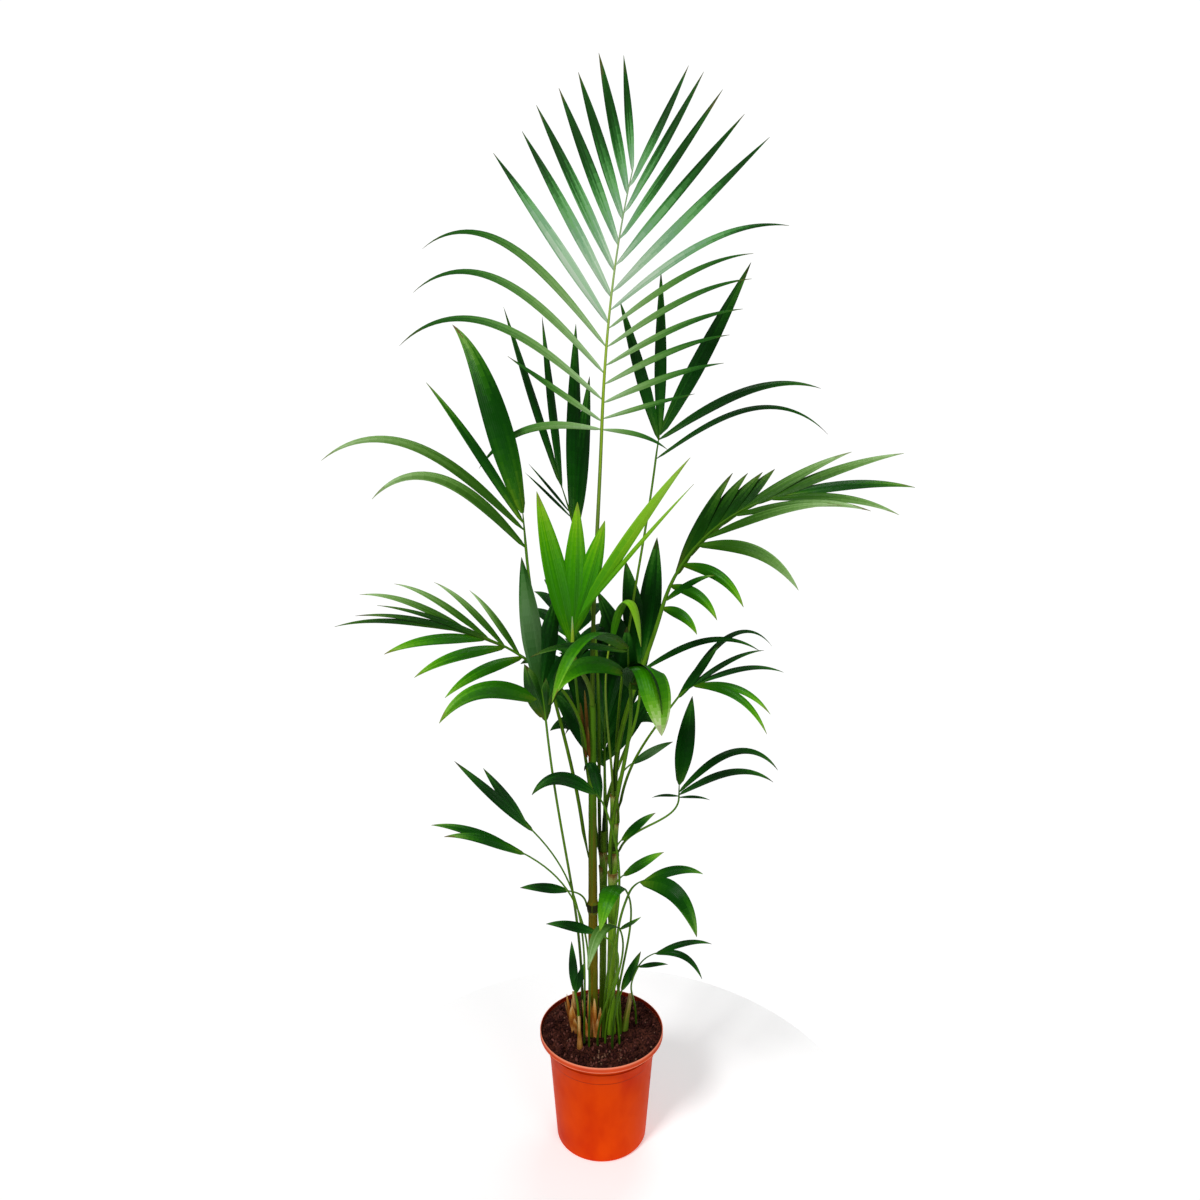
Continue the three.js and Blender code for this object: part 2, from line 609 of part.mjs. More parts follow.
// ---------------------------------------------------------------- assembly
const palm = new THREE.Group();
palm.name = "kentia_palm_in_pot";
const taken = []; // every solid in the way of a leaflet, with the name of its node

function add(name, solid, color) {
  const material = new THREE.MeshStandardMaterial({ color, roughness: 0.6 });
  const mesh = new THREE.Mesh(geometryOf(solid), material);
  mesh.name = name;
  palm.add(mesh);
}

const meets = (a, b) => {
  const [p, q] = [a.boundingBox(), b.boundingBox()];
  if ([0, 1, 2].some((i) => p.min[i] > q.max[i] || q.min[i] > p.max[i])) return false;
  return !a.intersect(b).isEmpty();
};

// The largest piece of a solid, without the scraps and sealed hollows that joining may leave.
const whole = (solid) => solid.decompose().reduce((a, b) => (a.volume() > b.volume() ? a : b));

add("pot", potSolid(), 0xd63f08);
add("soil", soilSolid(), 0x3a1e14);
for (const cane of CANES) {
  const solid = caneSolid(cane);
  taken.push({ owner: cane.name, solid });
  add(cane.name, solid, BARK[cane.bark]);
}
for (const frond of FRONDS) taken.push({ owner: frond.name, solid: stalkSolid(frond) });
for (const frond of FRONDS) {
  const others = taken.filter(({ owner }) => owner !== frond.name);
  const leaves = leafletsOf(frond)
    .filter((leaf) => !others.some(({ solid }) => meets(solid, leafSolid(leaf, CLEARANCE))))
    .map((leaf) => leafSolid(leaf));
  const own = taken.find(({ owner }) => owner === frond.name);
  own.solid = whole(wasm.Manifold.union([own.solid, ...leaves]));
  add(frond.name, own.solid, GREEN[frond.tone]);
}

export default palm;
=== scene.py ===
"""Kentia palm in a plastic nursery pot: leaflets, stalks, canes, husks, potting soil and pot.

Metres and +Z up in Blender. The plan of the plant is in millimetres, and a way is [compass, lean] in degrees:
compass from +X towards +Y, lean from straight up.
"""
from collections import namedtuple
from math import cos, log, pi, radians, sin, tan
from types import SimpleNamespace

import bpy
from mathutils import Matrix, Vector, noise


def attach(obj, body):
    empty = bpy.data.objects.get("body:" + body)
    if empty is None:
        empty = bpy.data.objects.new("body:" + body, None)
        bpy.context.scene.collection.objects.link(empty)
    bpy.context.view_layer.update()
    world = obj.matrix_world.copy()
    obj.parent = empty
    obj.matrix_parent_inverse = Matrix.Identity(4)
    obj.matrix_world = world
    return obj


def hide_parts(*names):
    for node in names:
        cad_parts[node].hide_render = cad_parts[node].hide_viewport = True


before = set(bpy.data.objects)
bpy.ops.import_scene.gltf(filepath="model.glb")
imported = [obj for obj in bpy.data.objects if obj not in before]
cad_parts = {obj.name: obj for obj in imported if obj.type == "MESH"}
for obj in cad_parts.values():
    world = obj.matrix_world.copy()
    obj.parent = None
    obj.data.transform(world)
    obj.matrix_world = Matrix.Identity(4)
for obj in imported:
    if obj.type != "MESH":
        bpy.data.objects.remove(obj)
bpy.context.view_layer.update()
scene = bpy.context.scene


def placed(name, data):
    """A new object in the scene, at the origin."""
    thing = bpy.data.objects.new(name, data)
    scene.collection.objects.link(thing)
    return thing


# ---- camera
EYE_PLACE = (-0.003, -1.707, 1.503)
EYE_PITCH = 76.5
SENSOR_WIDTH = 36
FOCAL_LENGTH = 30

eye = bpy.data.cameras.new("camera")
eye.sensor_width = SENSOR_WIDTH
eye.lens = FOCAL_LENGTH
camera = placed("camera", eye)
camera.location = EYE_PLACE
camera.rotation_euler = (radians(EYE_PITCH), 0, 0)
scene.camera = camera

# ---- sizes
MM = 0.001
UP = Vector((0, 0, 1))
ACROSS = Vector((1, 0, 0))
DEEP = Vector((0, 1, 0))

SOIL_LEVEL = 230
CLEARANCE = 0.3
SEAT_GAP = 0.05
FOOT_LEVEL = SOIL_LEVEL + CLEARANCE
CANE_STEP = 5
FLARE_HEIGHT = 45
FLARE_GAIN = 0.35  # of a cane's girth, at soil level
NODE_GAIN = 0.35  # of a cane's girth, at a leaf scar
NODE_REACH = 14
SCAR_REACH = 9
SHEATH_LENGTH = 55
SHEATH_SCATTER = 25
SHEATH_LIP = 10  # above the foot of its stalk
SHEATH_OPENING = 0.35  # of the stalk's girth, sideways
SHEATH_WIDENING = 0.3  # of the stalk's girth
STALK_SWELL = 1.4  # the foot's girth against the neck's
STALK_LEAN = 5  # where it leaves a cane
SLIM_FOOT = 0.3  # of its girth, on a cane
SLIM_FOOT_GROWTH = 9
SLIM_FOOT_SHIFT = 0.8  # of the girth it lacks, towards the cane
FOOT_PULL = 0.4  # of the span from foot to neck
NECK_PULL = 0.35
RIB_TIP_GIRTH = 2
LEAF_BASE_WIDTH = 0.3  # of the leaflet's widest
LEAF_WIDEST_AT = 0.4  # of the way along it
LEAF_TIP_POWER = 0.85  # below 1 makes the tip blunter
LEAF_FOOT = 0.4  # of the width there
LEAF_FOOT_GROWTH = 14
LEAF_STEPS = 34
LEAF_STEP_POWER = 1.1
LEAST_HALF_WIDTH = 0.35
FOLD = 0.26
BASE_FOLD = 0.4  # more at the very base
BASE_FOLD_FADE = 5
DRY_TIP_FROM = 0.1  # of the scatter from -0.5 to 0.5
DRY_TIP = 0.02  # of the length
DRY_TIP_SCATTER = 0.03
DROOP_POWER = 2
TURN_SCATTER = 3
LENGTH_SCATTER = 0.06
TONE_SCATTER = 0.06
# Painted sheen: sage leaflets are painted pale from the rib out to their middle colour; these numbers set
# where that border lies.
SAGE_SHEEN_START = 0.4  # of the rib: the first sage leaflet
SAGE_SHEEN_SPAN = 0.3
SAGE_SHEEN_MIDDLES = (0.78, 0.36)
HUSK_BOW = 0.05  # of its height
HUSK_WIDTHS = (0.8, 1.15, 0.15)  # of its width, at its foot, middle and top
PEELING_WIDTHS = (0.7, 1, 0.25)
STRIP_STEPS = 14
LEAST_STRIP_HALF = 0.3

POT_HEIGHT = 236
RIM_RADIUS = 120
RIM_BAND = 11
RIM_FLARE = 16
THROAT_RADIUS = 105
SHOULDER_FOOT = 186
SHOULDER_STEP = 2
BASE_RADIUS = 88
BASE_ROUND = 6
POT_WALL = 2
POT_SIDES = 128
BASE_STEPS = 6
FLARE_STEPS = 8
BAND_FOOT = POT_HEIGHT - RIM_BAND
FLARE_FOOT = BAND_FOOT - RIM_FLARE
SOIL_SIDES = 144
SOIL_RINGS = 40
FLOOR_RADIUS = 0.55

# The canes' feet in the soil, their tops, their girth at both, and the heights of their leaf scars.
CANES = {
    "cane_left": dict(foot=(-16, -14), top=(-17, 2, 900), girths=(20, 13), scars=(500,), look="brown_cane"),
    "cane_right": dict(foot=(17, -8), top=(24, 0, 735), girths=(18, 13), look="green_cane"),
    "cane_middle": dict(foot=(2, 16), top=(4, 20, 640), girths=(14, 12), look="green_cane"),
    "old_stalk_left": dict(foot=(-47, -4), top=(-55, -8, 318), girths=(11, 4), look="dry_stalk"),
    "old_stalk_front": dict(foot=(-41, -55), top=(-43, -62, 302), girths=(9, 4), look="dry_stalk"),
    "old_stalk_right": dict(foot=(44, -2), top=(57, 8, 302), girths=(12, 9), look="cut_stalk"),
}


# A rank is a row of leaflets on one side of a rib. Each pair runs from its first leaflet to its last: place
# along the rib, turn away from the rib, length and droop. A single leaflet takes one number for each.
rank = namedtuple("rank", "count at turn length droop width look twist", defaults=(None, 0))


def single(at, turn, length, droop, width, look=None, twist=0):
    return rank(1, (at, at), (turn, turn), (length, length), (droop, droop), width, look, twist)


# A frond's root is a place in the soil, one on top of a cane, or a cane with a height and a compass. Its rib
# sets off at the aim and ends at the bend. The lift raises the leaflets on both sides, the roll turns them
# about the rib.
def frond(name, root, neck, aim, bend, *ranks, rib, girth=3, look="dark", lift=0, roll=0):
    return SimpleNamespace(name=name, root=root, neck=Vector(neck), aim=aim, bend=bend, ranks=ranks,
                           rib=rib, girth=girth, look=look, lift=lift, roll=roll)


FRONDS = [
    frond("frond_top", (-17, 7, 900.3), (0, 60, 1385), (78, 10), (52, 21),
          single(0, 84, 250, 1.6, 14, "meadow"),
          single(0.03, 58, 205, 0, 11, "meadow"),
          rank(3, (0.11, 0.31), (50, 43), (435, 465), (1.3, 1.15), 15, "meadow"),
          rank(6, (0.4, 0.9), (38, 25), (396, 300), (0.06, 0), 21),
          rank(2, (0, 0.04), (-95, -74), (125, 170), (0.7, 0.1), 9, "meadow"),
          rank(5, (0.1, 0.38), (-68, -54), (225, 285), (0.3, 0.55), 12, "meadow"),
          single(0.45, -54, 345, 0.75, 15),
          rank(5, (0.52, 0.93), (-47, -21), (360, 218), (0.06, 0), 21),
          single(0.99, 18, 240, 0, 16), rib=460, girth=6, lift=6, look="sage"),
    frond("frond_back_left", ("cane_middle", 560, 120), (-45, 150, 1175), (125, 27), (128, 31),
          rank(2, (1, 0.95), (0, -13), (385, 375), (0.02, 0), 20),
          rank(2, (0.1, 0.25), (-24, -19), (345, 440), (0, 0), 34),
          rank(2, (0.4, 0.5), (36, 28), (120, 122), (0.1, 0.1), 7),
          single(0.5, -44, 90, 0, 6), rib=110, girth=5),
    frond("frond_back_right", (25, 5, 735.3), (100, 150, 1325), (75, 30), (70, 32),
          rank(2, (0.8, 1), (22, 10), (335, 365), (0.05, 0), 24),
          single(1, -17, 385, 0, 34),
          single(0.8, -50, 330, 0.85, 20),
          single(0, -50, 360, 1.4, 12), rib=50, girth=4),
    frond("frond_left", ("cane_left", 600, 190), (-130, -20, 1190), (110, 14), (110, 16),
          single(0, 40, 318, 1.5, 20, "silver"),
          single(0.5, 43, 400, 1.3, 18, "silver"),
          single(0.7, 28, 285, 0.25, 18),
          single(1, 11, 360, 0.75, 48), rib=60, girth=5, look="mid"),
    frond("frond_young", (-17, -4, 900.3), (-50, -60, 1030), (95, 4), (80, 8),
          rank(3, (0, 0.3), (13, -16), (270, 200), (0, 0), 40),
          single(0.5, -30, 350, 0.25, 22, "fresh"),
          single(0.6, -38, 320, 0.1, 8, "fresh"), rib=60, girth=7, look="young"),
    frond("frond_right", (24, -4, 735.3), (104, -30, 1085), (-10, 14), (-10, 72),
          rank(4, (0.22, 0.62), (3, 8), (195, 135), (0.4, 0.1), 26, "olive"),
          rank(2, (0.72, 0.86), (0, -1), (225, 255), (0.3, 0.3), 18, "silver"),
          single(1, -5, 225, 0.4, 18),
          rank(3, (0.5, 0.95), (-22, -17), (235, 215), (0.5, 0.6), 15, "silver"),
          single(0.45, -46, 200, 1.5, 22, "silver"),
          rank(3, (0, 0.3), (-80, -62), (85, 145), (1.5, 1.7), 20, "bright"),
          single(0.05, -35, 110, 0.5, 12), rib=285, girth=7, roll=60, look="mid"),
    frond("frond_low_left", ("cane_left", 800, 200), (-135, -70, 1010), (185, 54), (190, 74),
          rank(4, (0.05, 0.8), (-30, -14), (145, 210), (0.45, 0.6), 14, "silver"),
          rank(3, (0.3, 1), (4, 2), (230, 210), (0.35, 0.5), 11, "olive"),
          rank(3, (0, 0.6), (50, 20), (165, 180), (0.7, 0.6), 20, "bright"),
          rib=115, girth=5, roll=-45, look="mid"),
    frond("frond_lower_left", (-37, 23), (-95, -100, 905), (120, 12), (125, 16),
          single(1, -2, 226, 0.2, 42, "grey"),
          single(0.6, 62, 210, 1.7, 30),
          rank(2, (0, 0.3), (-8, -35), (75, 110), (0, 0), 24, "olive"),
          rank(2, (0.5, 1), (-40, -20), (150, 170), (0.8, 0.2), 40, "dark"),
          single(0.1, 13, 98, 0.3, 38, "olive"), rib=55, girth=4, look="bright"),
    frond("frond_front", ("cane_right", 560, 240), (48, -110, 968), (-105, 18), (-90, 45),
          single(1, -34, 230, 3.2, 40, twist=-20),
          single(0.3, -58, 150, 2.6, 34, twist=30),
          single(0.9, -68, 165, 0.8, 18, "mid", twist=20),
          single(0, 21, 188, 7, 68, "lit", twist=80),
          single(0.1, 32, 145, 6.5, 50, "olive"),
          single(0.1, 2, 115, 0, 30, "dark"), rib=100, girth=6, look="bright"),
    frond("frond_inner_right", (4, 24, 640.3), (70, 40, 912), (80, 8), (60, 10),
          rank(3, (0.2, 1), (28, -2), (190, 222), (0, 0.1), 46),
          single(0.6, -52, 240, 1.1, 12),
          single(0.4, 60, 105, 1.2, 22), rib=60, girth=5),
    frond("frond_right_low", ("cane_right", 690, 8), (138, 20, 905), (0, 35), (-5, 60),
          single(0, 0, 130, 0.1, 18),
          single(0.2, 10, 240, 1.6, 12),
          rank(2, (0.6, 1), (-2, -6), (160, 165), (0.6, 0.8), 14),
          rank(2, (1, 0.9), (-30, -40), (165, 175), (1.3, 1.9), 15, "bright"),
          rib=40, girth=4, lift=10, roll=40),
    frond("frond_right_lowest", ("cane_right", 600, 22), (145, 30, 705), (90, 2), (80, 4),
          single(1, -6, 175, 0, 34),
          rank(2, (0.4, 0.2), (-42, -58), (230, 190), (1.7, 1.2), 15),
          rank(2, (0, 0.1), (-85, 85), (60, 50), (0.5, 0.5), 6), rib=25, girth=3.5),
    frond("frond_low_centre", (3, -24), (5, -98, 746), (190, 20), (190, 40),
          rank(2, (1, 0.5), (12, -25), (135, 95), (1.7, 1.9), 24), rib=30, girth=4, roll=-60),
    frond("frond_far_left", (-33, -42), (-122, -65, 683), (180, 42), (180, 44),
          rank(2, (0, 1), (4, -8), (190, 125), (0, 0), 18), rib=20, roll=-70),
    frond("frond_far_left_low", (-24, -52), (-128, -95, 650), (185, 56), (185, 66),
          rank(2, (0.3, 0.8), (4, -3), (150, 155), (0.6, 0.5), 18), rib=30, roll=-50, look="mid"),
    frond("leaf_left", ("cane_left", 495, 170), (-56, -22, 540), (185, 75), (185, 80),
          single(0.5, 0, 92, 0.3, 18), rib=12, roll=-60),
    frond("leaf_front", (-8, -48), (-4, -90, 494), (185, 60), (180, 80),
          single(0.5, 0, 95, 0.4, 18), rib=12, roll=-60),
    frond("frond_low_right", (36, -14), (50, -75, 568), (-30, 22), (-20, 62),
          single(1, 6, 115, 0.9, 20, "mid"),
          single(0.8, -24, 168, 3.1, 32, "mid", twist=12), rib=42, girth=4.5, roll=40, look="bright"),
    frond("leaf_low_centre", (20, -57), (43, -98, 586), (245, 40), (245, 60),
          single(0.5, 0, 140, 3.2, 36), rib=15, girth=3.5, look="bright"),
    frond("frond_lowest_right", (68, 16), (68, -60, 407), (-10, 24), (-5, 68),
          single(1, 6, 108, 0.8, 13),
          single(0.95, -12, 116, 2.8, 13),
          single(0, -40, 98, 0.2, 9), rib=46, roll=30),
    frond("shoot_left", (-44, -24), (-50, -32, 332), (185, 12), (180, 5),
          single(0.5, 5, 105, 0, 17),
          single(0, 26, 75, 0, 15), rib=10, girth=4, roll=80),
    frond("shoot_right", (34, -44), (36, -45, 341), (0, 22), (0, 15),
          single(0.5, -5, 90, 0, 17), rib=10, girth=4, roll=80, look="mid"),
    frond("leaf_low_front", (7, -46), (33, -84, 500), (240, 30), (240, 70),
          single(0.5, 0, 145, 3, 26, "silver"),
          single(0, 42, 95, 0, 9), rib=15, girth=3.5, look="bright"),
    frond("leaf_low_right", ("cane_right", 520, 330), (35, -30, 573), (0, 45), (0, 60),
          single(0.5, 0, 90, 0.3, 18), rib=12, roll=50, look="bright"),
    frond("leaf_mid_right", ("cane_right", 600, 338), (32, -24, 640), (0, 35), (0, 50),
          single(0.5, 0, 85, 0.4, 17), rib=12, roll=50, look="mid"),
    frond("leaf_high_right", ("cane_right", 660, 332), (50, -30, 795), (0, 50), (0, 60),
          single(0.5, 0, 85, 0.3, 16, "grey"), rib=12, roll=50),
    frond("leaf_folded", ("cane_right", 715, 255), (13, -34, 1018), (318, 12), (318, 15),
          single(0.5, 0, 182, 3.5, 26, "fresh"), rib=10, girth=3.5, look="young"),
    frond("frond_centre", ("cane_middle", 580, 60), (6, 76, 748), (90, 4), (90, 14),
          rank(3, (0, 0.6), (33, 14), (185, 215), (0.15, 0.1), 38),
          rank(3, (0.1, 0.7), (-33, -14), (185, 215), (0.15, 0.1), 38),
          single(1, 0, 190, 0.05, 34), rib=110, girth=5),
    frond("frond_back_high", ("cane_middle", 590, 175), (-48, 60, 930), (100, 30), (95, 68),
          rank(5, (0.05, 0.95), (56, 18), (110, 135), (1.2, 0.6), 30),
          rank(5, (0.1, 0.98), (-56, -18), (110, 135), (1.2, 0.6), 30),
          single(0.99, 0, 150, 0.3, 18), rib=170, girth=5, lift=8),
    frond("frond_back", ("cane_middle", 500, 90), (5, 120, 770), (95, 25), (95, 70),
          rank(5, (0.1, 0.95), (54, 22), (125, 160), (1.6, 0.6), 36),
          rank(5, (0.15, 0.98), (-54, -22), (125, 160), (1.6, 0.6), 36),
          single(0.99, 0, 150, 0.3, 18),
          rank(2, (0, 0.05), (28, -28), (130, 130), (2.6, 2.6), 34), rib=180, girth=5, lift=8),
]


# ---- the rule of growth
def mix(a, b, k):
    return a + (b - a) * k


def leaning(compass, lean):
    compass, lean = radians(compass), radians(lean)
    across = sin(lean)
    return Vector((across * cos(compass), across * sin(compass), cos(lean)))


def scatter(i, salt):
    """A number from -0.5 to 0.5, the same each time for the same pair of numbers."""
    return sin(i * 12.9898 + salt * 78.233) * 43758.5453 % 1 - 0.5


def square_to(way, across):
    """The direction nearest to `across` that is square to the way."""
    return (across - way * across.dot(way)).normalized()


def cane_at(cane, height):
    """A cane's centre and radius at a height."""
    foot = Vector((*cane["foot"], FOOT_LEVEL))
    top = Vector(cane["top"])
    along = (height - foot.z) / (top.z - foot.z)
    flare = FLARE_GAIN * max(0, 1 - (height - FOOT_LEVEL) / FLARE_HEIGHT) ** 2
    return foot.lerp(top, along), mix(*cane["girths"], along) / 2 * (1 + flare)


def rib_way(one, u):
    return leaning(mix(one.aim[0], one.bend[0], u), mix(one.aim[1], one.bend[1], u))


def rib_point(one, u, steps=12):
    point = one.neck.copy()
    for i in range(steps):
        point += rib_way(one, (i + 0.5) / steps * u) * (one.rib * u / steps)
    return point


def leaves_a_cane(one):
    return isinstance(one.root[0], str)


def stalk_path(one, stalk_steps=26, rib_steps=14):
    """Points from the stalk's foot over the neck to the rib's tip, each with its way and its u: -1 at the
    foot, 0 at the neck and 1 at the tip."""
    aim, neck, root, rise = leaning(*one.aim), one.neck, one.root, UP
    if leaves_a_cane(one):
        name, height, compass = root
        centre, radius = cane_at(CANES[name], height)
        away = radius + one.girth * STALK_SWELL / 2 + SEAT_GAP
        foot = leaning(compass, 90) * away + centre
        rise = leaning(compass, STALK_LEAN)
    else:
        foot = Vector((root[0], root[1], root[2] if len(root) > 2 else FOOT_LEVEL))
    span = (neck - foot).length
    a, b, c, d = foot, foot + rise * FOOT_PULL * span, neck - aim * NECK_PULL * span, neck
    path = []
    for i in range(stalk_steps + 1):
        t = i / stalk_steps
        s = 1 - t
        point = a * s ** 3 + b * 3 * s * s * t + c * 3 * s * t * t + d * t ** 3
        way = (b - a) * s * s + (c - b) * 2 * s * t + (d - c) * t * t
        path.append((point, way.normalized(), t - 1))
    point = neck.copy()
    for i in range(1, rib_steps + 1):
        point = point + rib_way(one, (i - 0.5) / rib_steps) * (one.rib / rib_steps)
        path.append((point, rib_way(one, i / rib_steps), i / rib_steps))
    return path


def leaf_width(t):
    """How wide a leaflet is at t, from 0 at its base to 1 at its tip, as a share of its widest."""
    if t > LEAF_WIDEST_AT:
        return max(0, cos((t - LEAF_WIDEST_AT) / (1 - LEAF_WIDEST_AT) * pi / 2)) ** LEAF_TIP_POWER
    return mix(LEAF_BASE_WIDTH, 1, sin(t / LEAF_WIDEST_AT * pi / 2))


def leaflets_of(one):
    """A frond's leaflets, rank by rank, each with its base, its way and the way that its face looks."""
    leaflets = []
    for row in one.ranks:
        for i in range(row.count):
            k = i / (row.count - 1) if row.count > 1 else 0
            n = len(leaflets)
            leaflets.append(SimpleNamespace(
                u=mix(*row.at, k),
                turn=mix(*row.turn, k) + TURN_SCATTER * scatter(n, one.rib),
                length=mix(*row.length, k) * (1 + LENGTH_SCATTER * scatter(n, one.rib + 1)),
                droop=mix(*row.droop, k),
                width=row.width, twist=row.twist, look=row.look or one.look,
            ))
    for leaf in leaflets:
        along = rib_way(one, leaf.u)
        side = leaning(mix(one.aim[0], one.bend[0], leaf.u) + 90, 90)
        face = along.cross(side)
        roll = radians(one.roll)
        rolled = side * cos(roll) + face * sin(roll)
        face = face * cos(roll) - side * sin(roll)
        lift = radians(one.lift) * (leaf.turn > 0 or -1)
        out = rolled * cos(lift) + face * sin(lift)
        turn = radians(leaf.turn)
        leaf.base = rib_point(one, leaf.u)
        leaf.way = along * cos(turn) + out * sin(turn)
        leaf.face = face * cos(lift) - rolled * sin(lift)
    return leaflets


def leaf_stations(leaf):
    """The leaflet's centre line: point, across, face, half width and share of the way along, at each station.
    Stations lie closer near the base, where the leaflet widens from its narrow foot."""
    stations = []
    point = leaf.base.copy()
    across = leaf.face.cross(leaf.way).normalized()
    before = 0
    for i in range(LEAF_STEPS + 1):
        t = (i / LEAF_STEPS) ** LEAF_STEP_POWER
        middle = (before + t) / 2
        stride = (leaf.way - UP * leaf.droop * middle ** DROOP_POWER).normalized()
        point = point + stride * (t - before) * leaf.length
        way = (leaf.way - UP * leaf.droop * t ** DROOP_POWER).normalized()
        twisted = Matrix.Rotation(radians(leaf.twist) * (t - before), 3, way)
        across = twisted @ square_to(way, across)
        half = leaf_width(t) * leaf.width / 2 * min(1, LEAF_FOOT + LEAF_FOOT_GROWTH * t)
        stations.append((point, across, way.cross(across), max(half, LEAST_HALF_WIDTH), t))
        before = t
    return stations


# ---- node trees
def add(tree, kind, inputs=None, **settings):
    """Adds a node with its settings. An input is named or numbered. It takes a value, a node or a socket."""
    node = tree.nodes.new(kind)
    for name, value in settings.items():
        setattr(node, name, value)
    for key, value in (inputs or {}).items():
        if isinstance(value, bpy.types.Node):
            value = value.outputs[0]
        if isinstance(value, bpy.types.NodeSocket):
            tree.links.new(value, node.inputs[key])
        else:
            node.inputs[key].default_value = value
    return node


def number(tree, operation, *values):
    return add(tree, "ShaderNodeMath", dict(enumerate(values)), operation=operation)


def product(tree, a, b):
    return number(tree, "MULTIPLY", a, b)


def ramp(tree, value, start, end, low=0.0, high=1.0):
    """Runs from low to high as the value runs from start to end, and stays level outside."""
    return add(tree, "ShaderNodeMapRange", {
        "Value": value, "From Min": start, "From Max": end, "To Min": low, "To Max": high})


def clouds(tree, place, spacing, detail, roughness=0.5):
    """Soft patches that lie about this many millimetres apart."""
    noise_node = add(tree, "ShaderNodeTexNoise", {
        "Vector": place, "Scale": 1 / (spacing * MM), "Detail": detail, "Roughness": roughness})
    return noise_node.outputs["Fac"]


def blended(tree, share, colour, other):
    """The first colour where the share is 0, the other one where it is 1."""
    return add(tree, "ShaderNodeMix", {0: share, 6: colour, 7: other}, data_type="RGBA").outputs[2]


def relief(tree, height, strength, distance):
    return add(tree, "ShaderNodeBump", {"Strength": strength, "Distance": distance, "Height": height})


def surface(tree, colour, roughness, ior, specular, bump):
    body = add(tree, "ShaderNodeBsdfPrincipled", {
        "Base Color": colour, "Roughness": roughness, "IOR": ior, "Specular IOR Level": specular,
        "Normal": bump})
    add(tree, "ShaderNodeOutputMaterial", {"Surface": body})


def linear(hex_colour):
    """An sRGB colour such as "d63f08" as the linear RGBA that shaders take."""
    channels = [int(hex_colour[i:i + 2], 16) / 255 for i in (0, 2, 4)]
    return (*[c / 12.92 if c <= 0.04045 else ((c + 0.055) / 1.055) ** 2.4 for c in channels], 1)


def new_material(name):
    material = bpy.data.materials.new(name)
    material.use_nodes = True
    tree = material.node_tree
    tree.nodes.clear()
    return material, tree


# ---- leaf, stalk and bark finishes
def cuticle(name, colour, roughness):
    """Palm leaflet under its wax: a satin sheen that thins out in soft patches some 15 mm wide, broken into
    fine streaks by the long veins, which are drawn 1.5 mm apart where real ones are half of that."""
    material, tree = new_material(name)
    place = add(tree, "ShaderNodeTexCoord").outputs["Object"]
    side = add(tree, "ShaderNodeAttribute", attribute_name="side").outputs["Fac"]
    veins = number(tree, "SINE", product(tree, side, 42.0))
    dull = ramp(tree, clouds(tree, place, 15, 2.0), 0.3, 0.7, roughness - 0.06, roughness + 0.1)
    surface(tree, linear(colour), dull, 1.45, 0.12, relief(tree, veins, 0.3, 0.0004))
    return material


def rind(name, colour, roughness, grain):
    """Skin of a stalk or cane: smooth or fibrous along its length, so light falls on it in long narrow
    streaks. The grain is the fibres' spacing in millimetres."""
    material, tree = new_material(name)
    place = add(tree, "ShaderNodeTexCoord").outputs["Object"]
    long = add(tree, "ShaderNodeMapping", {"Vector": place, "Scale": (1, 1, 0.08)})
    fibres = clouds(tree, long, grain, 3.0)
    dull = ramp(tree, fibres, 0.0, 1.0, roughness - 0.1, roughness + 0.1)
    surface(tree, linear(colour), dull, 1.45, 0.1, relief(tree, fibres, 0.35, 0.0006))
    return material


# Each look runs through these colours from a leaflet's base to its tip, and from a stalk's foot to its end.
# Then come a leaflet's dry tip and roughness, or a stalk's roughness and grain.
TONES = 18
DRY_TIP_ROUGHNESS = 0.6
LEAF_LOOKS = {
    # Painted sheen: the pale base tones of sage and meadow stand for light reflected off the wax near the
    # rib; the darker tones are the leaflets' own green.
    "sage": ("bad2b6 9cc29a 78a97c 6ca966 458940 1e5b1a 104309 114509 255f1a", "5c5a2c", 0.4),
    "meadow": ("a2c48c 88b070 6e9c50 558a3a 3a7424 1c5812 2c6418", "5c5a2c", 0.4),
    "dark": ("386a1a 0e4c05 063c03 032e02 124a06 3a7422", "3c3418", 0.32),
    "mid": ("588516 246007 0e4a04 0a4203 2a6a0b 6ea03e", "6a5a2c", 0.3),
    "bright": ("4d7309 246402 1c5a02 2a7402 4f9c08 86c03a", "7d7a30", 0.28),
    "young": ("4e9005 317c02 2f7e01 3c9201 5ba903 87c31c", "8c9a3a", 0.38),
    "fresh": ("3b9004 449204 58a307 7cb81a 88c02b 9bca48", "8c9a3a", 0.4),
    "olive": ("4c5e12 2c5308 164705 0e3803 2a5a0e 5a8030", "4a3c1a", 0.3),
    "lit": ("2b6204 1c5a02 246c02 3a8c02 66ae1c c2e094", "b4c08a", 0.3),
    "grey": ("224f0c 25561a 456f3a 58804c 49783a 215812", "5a5a3a", 0.36),
    # Painted sheen: silver's pale tip tones stand for light reflected off the leaflets' wax.
    "silver": ("3c6d11 285906 336213 578535 79a458 a5c789", "7a7a50", 0.34),
}
